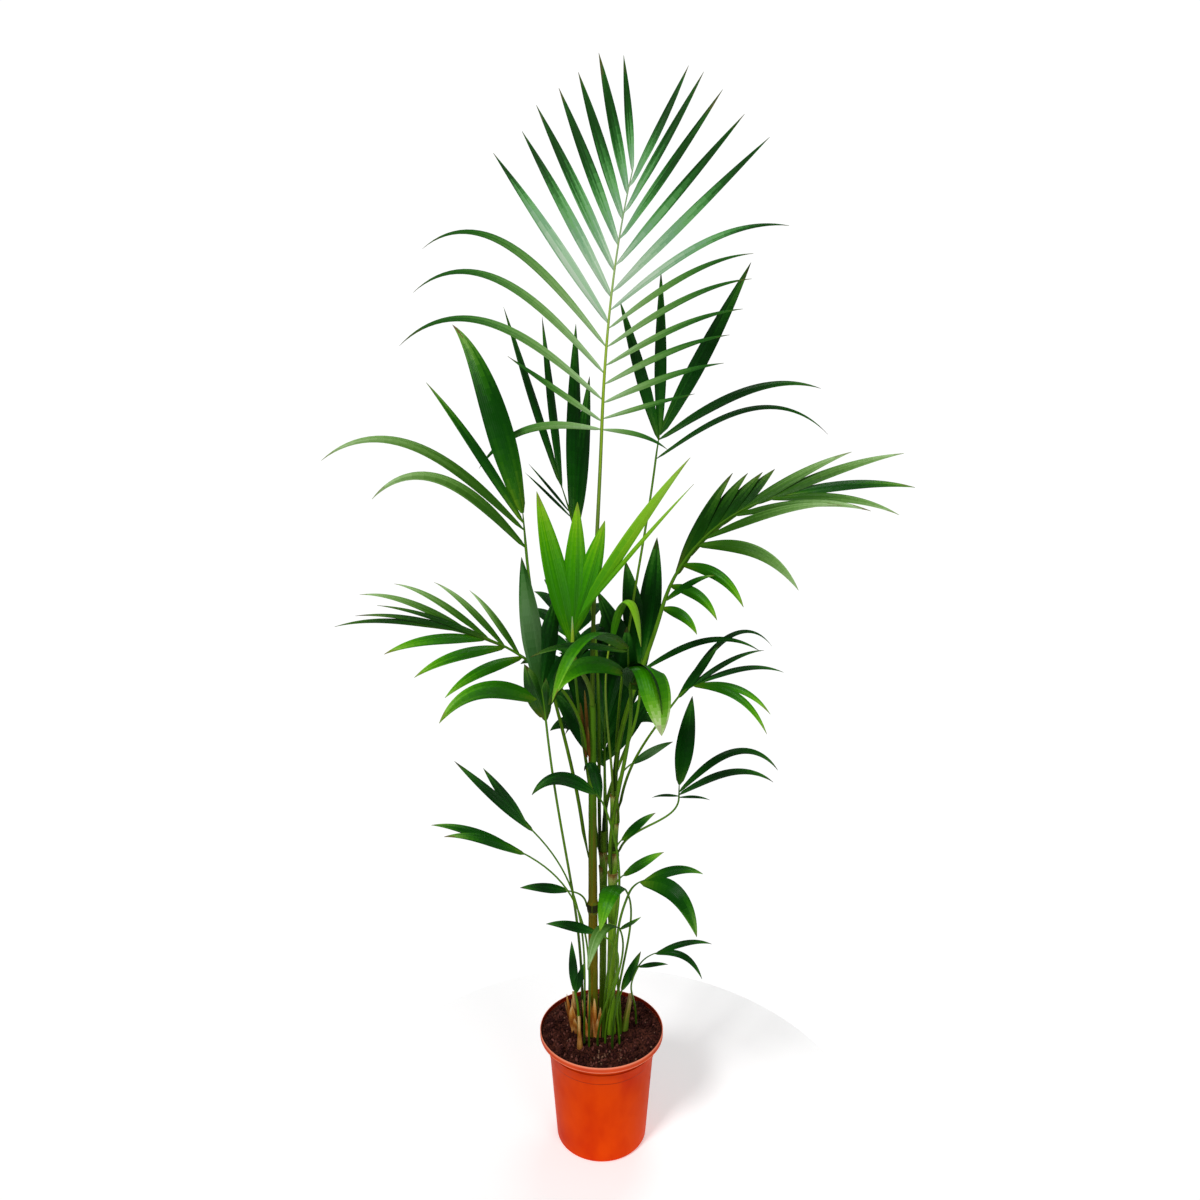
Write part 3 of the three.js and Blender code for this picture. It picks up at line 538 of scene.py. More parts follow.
STALK_LOOKS = {
    "green_stalk": ("263e0a 476c10 5f8c14 56861a 4a7a14 42700f 4a7616", 0.36, 2),
    "yellow_stalk": ("4a6c10 628222 66842c 6c8a34 8aae24 9cbc34 9cb878 90ae84", 0.4, 2),
    "brown_cane": ("2a2a10 4f6f18 62680f 75680f 6c5e08 66600f 5f661a 4c7012 4a7a12 528016", 0.45, 2),
    "green_cane": ("2c360c 5f8a16 6f9a1c 7fa82c 66921a 5f8c18 5a801a", 0.4, 2),
    "leaf_sheath": ("2f400c 466c10 5f8c18 669420 7a9a34 9aa658 7a5c28", 0.45, 1.5),
    "dry_stalk": ("6a3f1a 8f5a20 b88648 9a5c22 c49a5a d2b076", 0.8, 1.2),
    "cut_stalk": ("4f4e14 557418 667c22 84842c a0904a b8a066", 0.5, 1.5),
    "dry_husk": ("5a3010 a8622a cc9450 9a5218 c88434 e0b878", 0.8, 1.0),
    "crown_sheath": ("3c2a0e 5a3410 6a3c12 4a3210 6a4a1a 7a6a2c", 0.6, 1.2),
}


def run_of(colours):
    """Even steps through the colours, one for each tone but the last."""
    colours = colours.split()
    steps = []
    for i in range(TONES - 1):
        at = i / (TONES - 2) * (len(colours) - 1)
        low, high = colours[int(at)], colours[min(int(at) + 1, len(colours) - 1)]
        channels = [mix(int(low[c:c + 2], 16), int(high[c:c + 2], 16), at % 1) for c in (0, 2, 4)]
        steps.append("".join(f"{round(channel):02x}" for channel in channels))
    return steps


tones = {}
for look, (colours, dry, roughness) in LEAF_LOOKS.items():
    tones[look] = [cuticle(f"leaflet_cuticle_{look}_{i}", colour, roughness)
                   for i, colour in enumerate(run_of(colours))]
    tones[look].append(cuticle(f"leaflet_dry_tip_{look}", dry, DRY_TIP_ROUGHNESS))
for look, (colours, roughness, grain) in STALK_LOOKS.items():
    tones[look] = [rind(f"{look}_rind_{i}", colour, roughness, grain)
                   for i, colour in enumerate(run_of(colours))]
    tones[look].append(tones[look][-1])  # a stalk has no dry tip


# ---- the sweep
def growth_tree(name, *sockets):
    """A tree that takes geometry and these sockets, each a name and a kind, and the tree's inputs."""
    tree = bpy.data.node_groups.new(name, "GeometryNodeTree")
    tree.interface.new_socket("Geometry", in_out="OUTPUT", socket_type="NodeSocketGeometry")
    for socket, kind in (("Geometry", "Geometry"), *sockets):
        tree.interface.new_socket(socket, in_out="INPUT", socket_type=f"NodeSocket{kind}")
    return tree, add(tree, "NodeGroupInput").outputs


def carried(tree, name, kind="FLOAT"):
    return add(tree, "GeometryNodeInputNamedAttribute", {"Name": name}, data_type=kind).outputs["Attribute"]


def cross_section(tree, given):
    """A ring of even steps across, as flat as a blade or as round as a stalk. Its points carry `side`, from
    -1 at one edge to 1 at the other."""
    ring = add(tree, "GeometryNodeCurvePrimitiveCircle", {"Resolution": given["Sides"], "Radius": 1.0})
    at = add(tree, "ShaderNodeSeparateXYZ", {0: add(tree, "GeometryNodeInputPosition")}).outputs
    even = product(tree, number(tree, "ARCSINE", at["X"]), 2 / pi)
    wide = add(tree, "ShaderNodeMix", {0: given["Roundness"], 2: even, 3: at["X"]}, data_type="FLOAT")
    high = product(tree, at["Y"], given["Thickness"])
    spot = add(tree, "ShaderNodeCombineXYZ", {"X": wide, "Y": high})
    section = add(tree, "GeometryNodeSetPosition", {"Geometry": ring, "Position": spot})
    return add(tree, "GeometryNodeStoreNamedAttribute", {
        "Geometry": section, "Name": "side", "Value": at["X"]}, data_type="FLOAT", domain="POINT")


def moved(tree, swept, way, distance):
    offset = add(tree, "ShaderNodeVectorMath", {0: way, "Scale": distance}, operation="SCALE")
    return add(tree, "GeometryNodeSetPosition", {"Geometry": swept, "Offset": offset})


def raised(tree, given, swept):
    """The edges fold back, the pleats run along, and the bark's relief stands out."""
    side = carried(tree, "side")
    bend = number(tree, "POWER", number(tree, "ABSOLUTE", side), 1.3)
    back = product(tree, bend, carried(tree, "fold"))
    turns = product(tree, given["Pleats"], 2 * pi)
    waves = number(tree, "COSINE", product(tree, side, turns))
    rise = number(tree, "SUBTRACT", product(tree, waves, given["Pleat Depth"]), back)
    rise = product(tree, rise, carried(tree, "reach"))
    swept = moved(tree, swept, carried(tree, "face", "FLOAT_VECTOR"), rise)
    grain = add(tree, "ShaderNodeVectorMath", {0: add(tree, "GeometryNodeInputPosition"), 1: (1, 1, 0.15)},
                operation="MULTIPLY")
    rough = add(tree, "ShaderNodeTexNoise", {
        "Vector": grain, "Scale": number(tree, "DIVIDE", 1.0, given["Relief Spacing"]), "Detail": 2.0})
    stands = product(tree, number(tree, "SUBTRACT", rough, 0.5), given["Relief"])
    return moved(tree, swept, add(tree, "GeometryNodeInputNormal"), stands)


def toned(tree, given, swept):
    """Tone 0 is at the base, and the tones' borders run on in streaks between the veins."""
    veins = number(tree, "ROUND", product(tree, carried(tree, "side"), 9.0))
    column = number(tree, "ADD", veins, product(tree, carried(tree, "leaf"), 31.0))
    streak = add(tree, "FunctionNodeRandomValue", {2: 0.0, 3: given["Streaks"], 7: column, 8: 4},
                 data_type="FLOAT")
    zone = number(tree, "FLOOR", number(tree, "ADD", carried(tree, "tone"), streak.outputs[1]))
    zone = number(tree, "MINIMUM", number(tree, "MAXIMUM", zone, 0.0), TONES - 1.0)
    for k in range(TONES):
        here = add(tree, "FunctionNodeCompare", {0: zone, 1: float(k), 12: 0.1}, data_type="FLOAT",
                   operation="EQUAL")
        swept = add(tree, "GeometryNodeSetMaterial", {
            "Geometry": swept, "Selection": here, "Material": given[f"Tone {k}"]})
    return swept


def sweep_tree():
    """Sweeps a closed section along every path. The points carry `reach`, half of the width, `across` and
    `face`, the section's directions, `fold`, how far its edges bend back, `tone`, from 0 at the base to the
    number of tones at the tip, and `leaf`, the path's own number."""
    floats = ("Thickness", "Roundness", "Pleat Depth", "Pleats", "Relief", "Relief Spacing", "Crease Angle",
              "Streaks")
    tree, given = growth_tree("swept_growth", ("Sides", "Int"), *[(name, "Float") for name in floats],
                              *[(f"Tone {k}", "Material") for k in range(TONES)])
    paths = add(tree, "GeometryNodeMeshToCurve", {"Mesh": given["Geometry"]})
    paths = add(tree, "GeometryNodeSetCurveNormal", {
        "Curve": paths, "Normal": carried(tree, "across", "FLOAT_VECTOR")}, mode="FREE")
    swept = add(tree, "GeometryNodeCurveToMesh", {
        "Curve": paths, "Profile Curve": cross_section(tree, given), "Scale": carried(tree, "reach"),
        "Fill Caps": True})
    swept = raised(tree, given, swept)
    swept = add(tree, "GeometryNodeMergeByDistance", {"Geometry": swept, "Distance": 0.02 * MM})
    angle = add(tree, "GeometryNodeInputMeshEdgeAngle").outputs["Unsigned Angle"]
    soft = add(tree, "FunctionNodeCompare", {0: angle, 1: given["Crease Angle"]}, data_type="FLOAT",
               operation="LESS_THAN")
    swept = add(tree, "GeometryNodeSetShadeSmooth", {"Geometry": swept, "Shade Smooth": soft}, domain="EDGE")
    swept = toned(tree, given, swept)
    swept = add(tree, "GeometryNodeRealizeInstances", {0: swept})
    add(tree, "NodeGroupOutput", {0: swept})
    return tree


def grow(name, mesh, tree, **given):
    """The plain mesh that a Geometry Nodes tree makes of a mesh, as a new piece."""
    start = placed(f"{name}_start", mesh)
    modifier = start.modifiers.new("growth", "NODES")
    modifier.node_group = tree
    for item in tree.interface.items_tree:
        key = item.name.lower().replace(" ", "_")
        if item.in_out == "INPUT" and key in given:
            modifier[item.identifier] = given[key]
    bpy.context.view_layer.update()
    grown = bpy.data.meshes.new_from_object(start.evaluated_get(bpy.context.evaluated_depsgraph_get()))
    grown.name = name
    bpy.data.objects.remove(start)
    return placed(name, grown)


class Paths:
    """Centre lines that one sweep follows, with what their points carry."""

    def __init__(self):
        self.points, self.edges, self.nodes, self.count = [], [], set(), 0
        self.carried = {"reach": [], "fold": [], "tone": [], "leaf": [], "across": [], "face": []}

    def add(self, node, stations):
        first = len(self.points)
        for point, across, face, reach, fold, tone in stations:
            self.points.append(point * MM)
            for name, value in zip(self.carried, (reach * MM, fold, tone, self.count, across, face)):
                self.carried[name].append(value)
        self.edges += [(i, i + 1) for i in range(first, len(self.points) - 1)]
        self.nodes.add(node)
        self.count += 1

    def mesh(self, name):
        mesh = bpy.data.meshes.new(f"{name}_paths")
        mesh.from_pydata(self.points, self.edges, [])
        for key, values in self.carried.items():
            if key in ("across", "face"):
                store = mesh.attributes.new(key, "FLOAT_VECTOR", "POINT")
                store.data.foreach_set("vector", [c for vector in values for c in vector])
            else:
                store = mesh.attributes.new(key, "FLOAT", "POINT")
                store.data.foreach_set("value", values)
        return mesh


sweep = sweep_tree()
ROUND = dict(thickness=1.0, roundness=1.0)


def swept_piece(name, paths, look, slot, **sizes):
    """A piece swept along its paths, which replaces their nodes. It is a blade unless its sizes differ."""
    given = dict(sides=16, thickness=0.04, roundness=0.0, pleat_depth=0.0, relief=0.0, relief_spacing=0.004,
                 crease_angle=radians(40), streaks=3.0) | sizes
    given |= {f"tone_{k}": material for k, material in enumerate(tones[look])}
    piece = grow(name, paths.mesh(name), sweep, **given)
    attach(piece, "root")
    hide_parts(*sorted(paths.nodes))


# ---- leaflets, stalks and sheaths
def middle_of(leaf):
    """Where along a leaflet its middle colour lies. On sage ones, whose pale part near the rib is painted
    sheen, it comes earlier towards the rib's tip.
    """
    if leaf.look != "sage":
        return 0.5
    return mix(*SAGE_SHEEN_MIDDLES, min(1, (leaf.u - SAGE_SHEEN_START) / SAGE_SHEEN_SPAN))


def leaflet(one, leaf, n):
    """A leaflet's stations: folded where it leaves the rib and flatter on its way. Some have a dry tip."""
    salt = scatter(n, one.rib + 7)
    dry = 0
    if scatter(n, one.rib + 9) > DRY_TIP_FROM:
        dry = DRY_TIP + DRY_TIP_SCATTER * abs(scatter(n, one.rib + 11))
    power = log(0.5) / log(middle_of(leaf) + TONE_SCATTER * salt)
    stations = []
    for point, across, face, half, t in leaf_stations(leaf):
        tone = max(0, min(TONES - 2, t ** power * (TONES - 1) + salt - 1))
        fold = FOLD + BASE_FOLD * max(0, 1 - t * BASE_FOLD_FADE)
        stations.append((point, across, face, half, fold, TONES - 0.5 if t > 1 - dry else tone))
    return stations


def stalk(one):
    """The stations of a stalk and its rib. A stalk that leaves a cane has a slim foot that leans on it."""
    across = ACROSS
    stations = []
    for point, way, u in stalk_path(one):
        across = square_to(way, across)
        girth = mix(one.girth, one.girth * STALK_SWELL if u < 0 else RIB_TIP_GIRTH, abs(u))
        if leaves_a_cane(one):
            slim = min(1, SLIM_FOOT + SLIM_FOOT_GROWTH * (u + 1))
            point = point - leaning(one.root[2], 90) * (girth * (1 - slim) * SLIM_FOOT_SHIFT)
            girth *= slim
        stations.append((point, across, way.cross(across), girth / 2, 0, (u + 1) / 2 * (TONES - 2)))
    return stations


def sheath(one, steps=22):
    """The tube at a stalk's foot that clasps its cane, a little open at its dry upper edge."""
    name, height, compass = one.root
    cane = CANES[name]
    low = height - SHEATH_LENGTH - SHEATH_SCATTER * scatter(int(height), 5)
    stations = []
    for i in range(steps + 1):
        t = i / steps
        centre, radius = cane_at(cane, min(mix(low, height + SHEATH_LIP, t), cane["top"][2]))
        centre = centre + leaning(compass, 90) * (one.girth * SHEATH_OPENING * t ** 3)
        reach = radius + mix(-0.4, 0.9, min(1, t * 6)) + one.girth * SHEATH_WIDENING * t ** 3
        stations.append((centre, ACROSS, DEEP, reach, 0, t ** 1.5 * (TONES - 3)))
    return stations


leaf_paths = {}
stalk_paths = {}
sheaths = Paths()
for one in FRONDS:
    for n, leaf in enumerate(leaflets_of(one)):
        leaf_paths.setdefault(leaf.look, Paths()).add(one.name, leaflet(one, leaf, n))
    look = "yellow_stalk" if one.look in ("sage", "young") else "green_stalk"
    stalk_paths.setdefault(look, Paths()).add(one.name, stalk(one))
    if one.root[0] in ("cane_right", "cane_middle"):
        sheaths.add(one.root[0], sheath(one))

LEAF_SLOTS = {"olive": "mid", "silver": "mid", "grey": "mid", "fresh": "young", "lit": "bright",
              "meadow": "sage"}
PLEATED = dict(sides=28, pleat_depth=0.05, pleats=1.5, crease_angle=radians(30))
for look, paths in leaf_paths.items():
    shape = PLEATED if look == "young" else {}
    swept_piece(f"leaflets_{look}", paths, look, "leaf_" + LEAF_SLOTS.get(look, look), **shape)
for look, paths in stalk_paths.items():
    swept_piece(f"{look}s", paths, look, "leaf_mid", sides=10, **ROUND)
swept_piece("leaf_sheaths", sheaths, "leaf_sheath", "cane_green", sides=20, relief=0.0008, **ROUND)


# ---- canes and old stalks
def bark(cane):
    """A cane's stations. Its girth swells at a leaf scar, which is as dark as its foot."""
    stations = []
    steps = int((cane["top"][2] - FOOT_LEVEL) / CANE_STEP)
    for i in range(steps + 1):
        height = mix(FOOT_LEVEL, cane["top"][2], i / steps)
        centre, radius = cane_at(cane, height)
        tone = 1.5 + i / steps * (TONES - 3.5)
        for scar in cane.get("scars", ()):
            radius *= 1 + NODE_GAIN * max(0, 1 - (abs(height - scar) / NODE_REACH) ** 2)
            tone = -1.8 if abs(height - scar) < SCAR_REACH else tone
        stations.append((centre, ACROSS, DEEP, radius, 0, tone))
    return stations


CANE_SLOTS = {"brown_cane": "cane_brown", "green_cane": "cane_green"}
cane_paths = {}
for name, cane in CANES.items():
    cane_paths.setdefault(cane["look"], Paths()).add(name, bark(cane))
for look, paths in cane_paths.items():
    swept_piece(f"{look}s", paths, look, CANE_SLOTS.get(look, "dry_stalk"), sides=24, relief=0.0012,
                relief_spacing=0.003, streaks=3.4, **ROUND)


# ---- husks
def strip(line, across, widths, fold, start, end):
    """A flat strip's stations from tone to tone, along a bow through three points with its widths at each."""
    stations = []
    way = (line[-1] - line[0]).normalized()
    across = square_to(way, across)
    for i in range(STRIP_STEPS + 1):
        t = i / STRIP_STEPS
        bow = 4 * t * (1 - t)
        point = line[0] * (1 - t) ** 2 + line[1] * 2 * t * (1 - t) + line[2] * t * t
        width = mix(mix(widths[0], widths[2], t), widths[1], bow)
        half = max(width / 2, LEAST_STRIP_HALF)
        stations.append((point, across, way.cross(across), half, fold, mix(start, end, t)))
    return stations


# Old sheath, torn at its top edge, that clings to the feet of the left cane, of the stalk left of it and of
# the cut stalk: where it stands, height, width, the compass it faces, lean outwards and fold.
HUSKS = [
    (-30, -20, 82, 10, 200, 5, 0.5), (-22, -26, 104, 9, 235, 2, 0.5), (-13, -28, 92, 8, 262, 3, 0.4),
    (-5, -25, 72, 7, 292, 6, 0.5), (-26, -25, 54, 7, 225, 8, 0.3), (-9, -28, 50, 6, 280, 9, 0.3),
    (-52, -10, 66, 14, 240, 8, 0.5), (-56, -3, 84, 12, 205, 8, 0.5), (-45, -13, 52, 10, 275, 7, 0.4),
    (-59, 5, 58, 9, 175, 12, 0.4), (-49, -13, 42, 8, 255, 16, 0.3), (-54, -6, 74, 7, 222, 3, 0.6),
    (38, -6, 38, 8, 215, 6, 0.5),
]
husks = Paths()
for n, (x, y, height, width, compass, lean, fold) in enumerate(HUSKS):
    out = leaning(compass, 90)
    across = UP.cross(out)
    foot = Vector((x, y, SOIL_LEVEL - 1))
    top = foot + UP * height + out * (height * tan(radians(lean)))
    middle = foot.lerp(top, 0.5) - out * height * HUSK_BOW + across * 3 * scatter(n, 4)
    widths = [width * share for share in HUSK_WIDTHS]
    stations = strip((foot, middle, top), across, widths, fold, 2 * scatter(n, 3) + 2, TONES - 2)
    husks.add("old_stalk_left", stations)
swept_piece("husks", husks, "dry_husk", "dry_stalk", sides=12, thickness=0.1, relief=0.001, streaks=4.0)

# Brown strips that peel off the left cane below its crown: place, lowest and highest level, width, lean.
PEELING = [(-27, -4, 800, 905, 8, 6), (-24, -8, 812, 930, 7, 3), (-31, 0, 826, 885, 6, 10),
           (-22, -10, 790, 862, 5, 2)]
peeling = Paths()
for n, (x, y, low, high, width, lean) in enumerate(PEELING):
    foot = Vector((x, y, low))
    top = Vector((x - (high - low) * tan(radians(lean)), y - 2, high))
    middle = foot.lerp(top, 0.5) + ACROSS * 2.5
    widths = [width * share for share in PEELING_WIDTHS]
    stations = strip((foot, middle, top), Vector((1, -0.6, 0)), widths, 0.5, 2 + 3 * scatter(n, 8), TONES - 3)
    peeling.add("cane_left", stations)
swept_piece("crown_sheaths", peeling, "crown_sheath", "cane_brown", sides=12, thickness=0.1, relief=0.0006)


# ---- pot
def turned(name, line, sides, material):
    """A closed mesh turned about Z, from a line of [radius, height] that starts and ends on the axis."""
    points, faces, rings = [], [], []
    for radius, height in line:
        if radius == 0:
            rings.append([len(points)])
            points.append((0, 0, height * MM))
            continue
        rings.append(range(len(points), len(points) + sides))
        for i in range(sides):
            turn = 2 * pi * i / sides
            points.append((radius * MM * cos(turn), radius * MM * sin(turn), height * MM))
    for low, high in zip(rings, rings[1:]):
        for i in range(sides):
            a, b = low[i % len(low)], low[(i + 1) % len(low)]
            c, d = high[(i + 1) % len(high)], high[i % len(high)]
            faces.append(tuple(dict.fromkeys((a, b, c, d))))
    mesh = bpy.data.meshes.new(name)
    mesh.from_pydata(points, [], faces)
    mesh.shade_smooth()
    mesh.materials.append(material)
    return placed(name, mesh)


def pot_line(inset):
    """The wall's outline, this far inside its outer face: the round of the base, the straight wall with rings
    that keep its shading even, the shoulder's small step, the bead below the rim and the rim's flare."""
    slope = (THROAT_RADIUS - SHOULDER_STEP - BASE_RADIUS) / FLARE_FOOT

    def wall(height):
        return BASE_RADIUS + slope * height - inset

    line = []
    for i in range(BASE_STEPS + 1):
        turn = pi / 2 * i / BASE_STEPS
        radius = wall(BASE_ROUND) - BASE_ROUND * (1 - sin(turn))
        line.append((radius, max(inset, BASE_ROUND * (1 - cos(turn)))))
    line += [(wall(height), height) for height in (30, 70, 110, 150, SHOULDER_FOOT - 1.5)]
    shoulder = wall(SHOULDER_FOOT)
    line += [(shoulder + out, SHOULDER_FOOT + up) for out, up in (
        (0.3, -0.3), (SHOULDER_STEP - 0.4, 1.6), (SHOULDER_STEP, 3))]
    line += [(THROAT_RADIUS - inset + out, FLARE_FOOT - 3 + up) for out, up in (
        (0, 0), (1, 0.6), (1.1, 1.6), (0, 2.6))]
    for i in range(FLARE_STEPS + 1):
        k = i / FLARE_STEPS
        flare = k * k * (3 - 2 * k) * 0.6 + 0.4 * k ** 2.2
        line.append((mix(THROAT_RADIUS, RIM_RADIUS, flare) - inset, FLARE_FOOT + RIM_FLARE * k))
    return line


outside = pot_line(0) + [(RIM_RADIUS - inwards, POT_HEIGHT - below) for inwards, below in (
    (0, 9), (0, 4.5), (0, 1.4), (0.4, 0.4), (1, 0))]
inside = [(RIM_RADIUS - 1.6, POT_HEIGHT - 0.4), (RIM_RADIUS - POT_WALL, POT_HEIGHT - 1.4)]
inside += pot_line(POT_WALL)[::-1]


def moulded_plastic():
    """Injection-moulded polypropylene of a nursery pot: satin, with a painted highlight along the rim,
    upright clouds some
    50 mm wide where the colour has mixed unevenly, painted shade in its creases, scuffs that dull it in
    patches, and painted shade on the inner wall just below the rim."""
    material, tree = new_material("moulded_polypropylene_orange")
    place = add(tree, "ShaderNodeTexCoord").outputs["Object"]
    at = add(tree, "ShaderNodeSeparateXYZ", {0: place}).outputs
    height = product(tree, at["Z"], 1 / MM)

    drawn = add(tree, "ShaderNodeVectorMath", {0: place, 1: (1, 1, 0.5)}, operation="MULTIPLY")
    share = ramp(tree, clouds(tree, drawn, 55, 3.0), 0.3, 0.6)
    colour = blended(tree, share, linear("cc3000"), linear("de4200"))

    # Painted highlight: the rim's top edge, its band and a line at the band's foot are painted paler where
    # light catches them.
    edge = ramp(tree, height, POT_HEIGHT - 4.5, POT_HEIGHT - 1.0, 0.12, 0.95)
    band = number(tree, "GREATER_THAN", height, BAND_FOOT + 1.0)
    fold = product(tree, number(tree, "COMPARE", height, BAND_FOOT + 0.5, 0.9), 0.75)
    painted_rim_highlight = number(tree, "MULTIPLY_ADD", edge, band, fold)
    colour = blended(tree, painted_rim_highlight, colour, linear("ff9674"))

    # Painted shade: a darker line in the shoulder's step and under the bead below the rim's flare, where
    # shade falls.
    for crease, reach in ((SHOULDER_FOOT + 1.0, 1.5), (FLARE_FOOT - 0.5, 1.0)):
        painted_crease_shade = product(tree, number(tree, "COMPARE", height, crease, reach), 0.6)
        colour = blended(tree, painted_crease_shade, colour, linear("8a1c00"))

    # Painted shade: the inner face of the wall, down to 9 mm below the rim, is darkened where it lies in
    # shade.
    level = add(tree, "ShaderNodeCombineXYZ", {"X": at["X"], "Y": at["Y"]})
    radius = add(tree, "ShaderNodeVectorMath", {0: level}, operation="LENGTH").outputs["Value"]
    inner = ramp(tree, radius, (RIM_RADIUS - 1.2) * MM, (RIM_RADIUS - 1.9) * MM)
    painted_inner_shade = product(tree, inner, number(tree, "GREATER_THAN", height, POT_HEIGHT - 9.0))
    colour = blended(tree, painted_inner_shade, colour, linear("7a1e08"))

    dull = ramp(tree, clouds(tree, place, 16, 6.0), 0.0, 1.0, 0.34, 0.55)
    surface(tree, colour, dull, 1.36, 0.04, relief(tree, clouds(tree, place, 1.4, 2.0), 0.12, 0.0003))
    return material


pot = turned("nursery_pot", [(0, 0), *outside, *inside, (0, POT_WALL)], POT_SIDES, moulded_plastic())
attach(pot, "root")
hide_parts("pot")


# ---- potting soil
def peat(name, dark, light, spacing):
    """Damp peat and bark compost: dark and matt, with paler fibres and crumbs that give it a broken grain."""
    material, tree = new_material(name)
    place = add(tree, "ShaderNodeTexCoord").outputs["Object"]
    crumbs = clouds(tree, place, spacing, 5.0, 0.65)
    colour = blended(tree, ramp(tree, crumbs, 0.4, 0.66), linear(dark), linear(light))
    surface(tree, colour, 0.92, 1.33, 0.15, relief(tree, crumbs, 0.8, 0.002))
    return material


# The surface heaves in lumps and finer lumps, and has sunk a little. These sizes are in metres.
LUMPS_PER_METRE = 90
FINER = 3.1
LUMP = 0.0045
FINE_LUMP = 0.004
SINKAGE = 0.001


def soil_line():
    """The soil's outline, just inside the pot's wall, and rings across its surface."""
    inset = POT_WALL + 0.6
    line = [(radius, height) for radius, height in pot_line(inset) if height < SOIL_LEVEL - 4]
    wide = line[-1][0]
    surface_rings = [(wide * k / SOIL_RINGS, SOIL_LEVEL) for k in range(SOIL_RINGS - 1, -1, -1)]
    return [(0, inset), *line, (wide, SOIL_LEVEL - 3), *surface_rings]


soil = turned("potting_soil", soil_line(), SOIL_SIDES, peat("damp_peat", "1c0a07", "623428", 4))
for vertex in soil.data.vertices:
    if vertex.co.z > (SOIL_LEVEL - 2) * MM:
        place = vertex.co * LUMPS_PER_METRE
        vertex.co.z += LUMP * noise.noise(place) + FINE_LUMP * noise.noise(place * FINER) - SINKAGE
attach(soil, "root")
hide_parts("soil")


def crumb_tree():
    """Scatters lumps of every size over the geometry, each turned and flattened its own way."""
    tree, given = growth_tree("soil_crumbs", ("Density", "Float"), ("Least Size", "Float"),
                              ("Largest Size", "Float"), ("Seed", "Int"), ("Crumb", "Material"))
    spots = add(tree, "GeometryNodeDistributePointsOnFaces", {
        "Mesh": given["Geometry"], "Density": given["Density"], "Seed": given["Seed"]})
    lump = add(tree, "GeometryNodeMeshIcoSphere", {"Radius": 1.0, "Subdivisions": 1})

    def random(kind, sockets):
        return add(tree, "FunctionNodeRandomValue", sockets | {"Seed": given["Seed"]}, data_type=kind)

    turn = random("FLOAT_VECTOR", {0: (-3.1, -3.1, -3.1), 1: (3.1, 3.1, 3.1)})
    size = random("FLOAT", {2: given["Least Size"], 3: given["Largest Size"]})
    shape = random("FLOAT_VECTOR", {0: (0.7, 0.6, 0.35), 1: (1.4, 1.1, 0.7)})
    scale = add(tree, "ShaderNodeVectorMath", {0: shape, "Scale": size.outputs[1]}, operation="SCALE")
    lumps = add(tree, "GeometryNodeInstanceOnPoints", {
        "Points": spots, "Instance": lump.outputs["Mesh"], "Rotation": turn.outputs[0], "Scale": scale})
    lumps = add(tree, "GeometryNodeRealizeInstances", {0: lumps})
    lumps = add(tree, "GeometryNodeSetMaterial", {"Geometry": lumps, "Material": given["Crumb"]})
    add(tree, "NodeGroupOutput", {0: lumps})
    return tree


def level_face(name, height, centre, reaches):
    """One level face, in metres. Each of its corners has its own reach from the centre in X and in Y."""
    points = []
    for i, (wide, deep) in enumerate(reaches):
        turn = i * pi / (len(reaches) / 2)
        points.append((centre[0] + wide * cos(turn), centre[1] + deep * sin(turn), height))
    mesh = bpy.data.meshes.new(name)
    mesh.from_pydata(points, [], [tuple(range(len(points)))])
    return mesh


# The crumbs' disc stops short of the pot's wall. Pale ones lie closest on an uneven patch in front of the
# canes.
disc = level_face("crumb_bed", SOIL_LEVEL * MM, (0, 0), [(0.11, 0.11)] * 48)
patch = level_face("pale_crumb_bed", (SOIL_LEVEL + 0.5) * MM, (0.012, -0.078),
                   [(0.034, 0.008 + 0.009 * (i % 3)) for i in range(16)])
crumbs = crumb_tree()
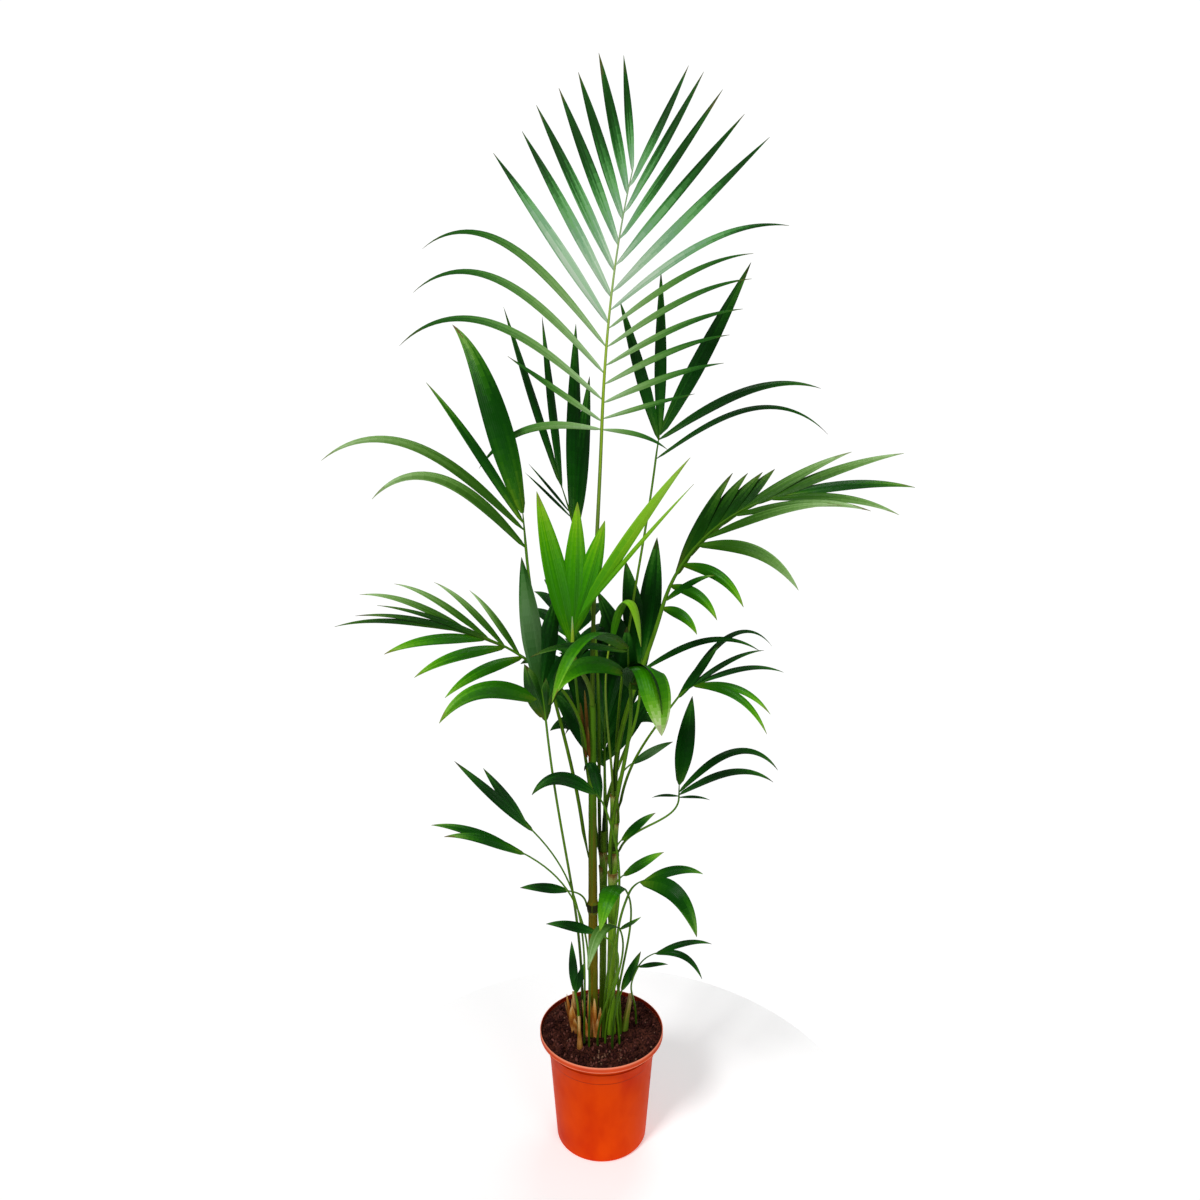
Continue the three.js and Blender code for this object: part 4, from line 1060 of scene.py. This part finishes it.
# Bed, number per square metre, least and largest size in metres, two colours and seed of each.
for name, bed, density, least, largest, dark, light, seed in (
        ("dark_crumbs", disc, 9500.0, 0.002, 0.0072, "1c0a08", "4a2420", 3),
        ("red_crumbs", disc, 5200.0, 0.0016, 0.0052, "4e261e", "85524a", 5),
        ("pale_crumbs", disc, 1500.0, 0.001, 0.003, "7a5444", "b08c78", 7),
        ("pale_patch", patch, 16000.0, 0.001, 0.004, "6a4636", "9a7660", 9)):
    piece = grow(name, bed, crumbs, density=density, least_size=least, largest_size=largest, seed=seed,
                 crumb=peat(f"peat_{name}", dark, light, 3))
    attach(piece, "root")
    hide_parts("soil")

# ---- studio
# Seamless paper: matt white, with a faint glow of its own, so that it runs into the backdrop without an edge.
floor_mesh = level_face("floor", -0.0005, (0, 0), [(FLOOR_RADIUS, FLOOR_RADIUS)] * 128)
floor = placed("floor", floor_mesh)
paper, tree = new_material("seamless_paper")
matt = add(tree, "ShaderNodeBsdfPrincipled", {
    "Base Color": linear("fafafa"), "Roughness": 1.0, "Specular IOR Level": 0.0,
    "Emission Color": (1, 1, 1, 1), "Emission Strength": 0.3})
add(tree, "ShaderNodeOutputMaterial", {"Surface": matt})
floor_mesh.materials.append(paper)

# The backdrop is white to the eye, and lights the plant more softly than it looks.
world = bpy.data.worlds.new("studio")
world.use_nodes = True
world.node_tree.nodes.clear()
tree = world.node_tree
seen = add(tree, "ShaderNodeLightPath").outputs["Is Camera Ray"]
strength = ramp(tree, seen, 0.0, 1.0, 0.2, 1.05)
glow = add(tree, "ShaderNodeBackground", {"Color": (1, 1, 1, 1), "Strength": strength})
add(tree, "ShaderNodeOutputWorld", {"Surface": glow})
scene.world = world


def softbox(name, place, aim_height, size, power):
    data = bpy.data.lights.new(name, "AREA")
    data.shape = "SQUARE"
    data.size = size
    data.energy = power
    lamp = placed(name, data)
    lamp.location = place
    lamp.rotation_euler = (UP * aim_height - Vector(place)).to_track_quat("-Z", "Y").to_euler()


softbox("key", (-3.2, -4.6, 6.2), 1.1, 1.6, 345)
softbox("fill", (2.6, -4.2, 1.6), 0.8, 2.4, 74)
softbox("top", (0.8, 2.5, 6.0), 0.9, 2.0, 75)
scene.view_settings.view_transform = "Standard"
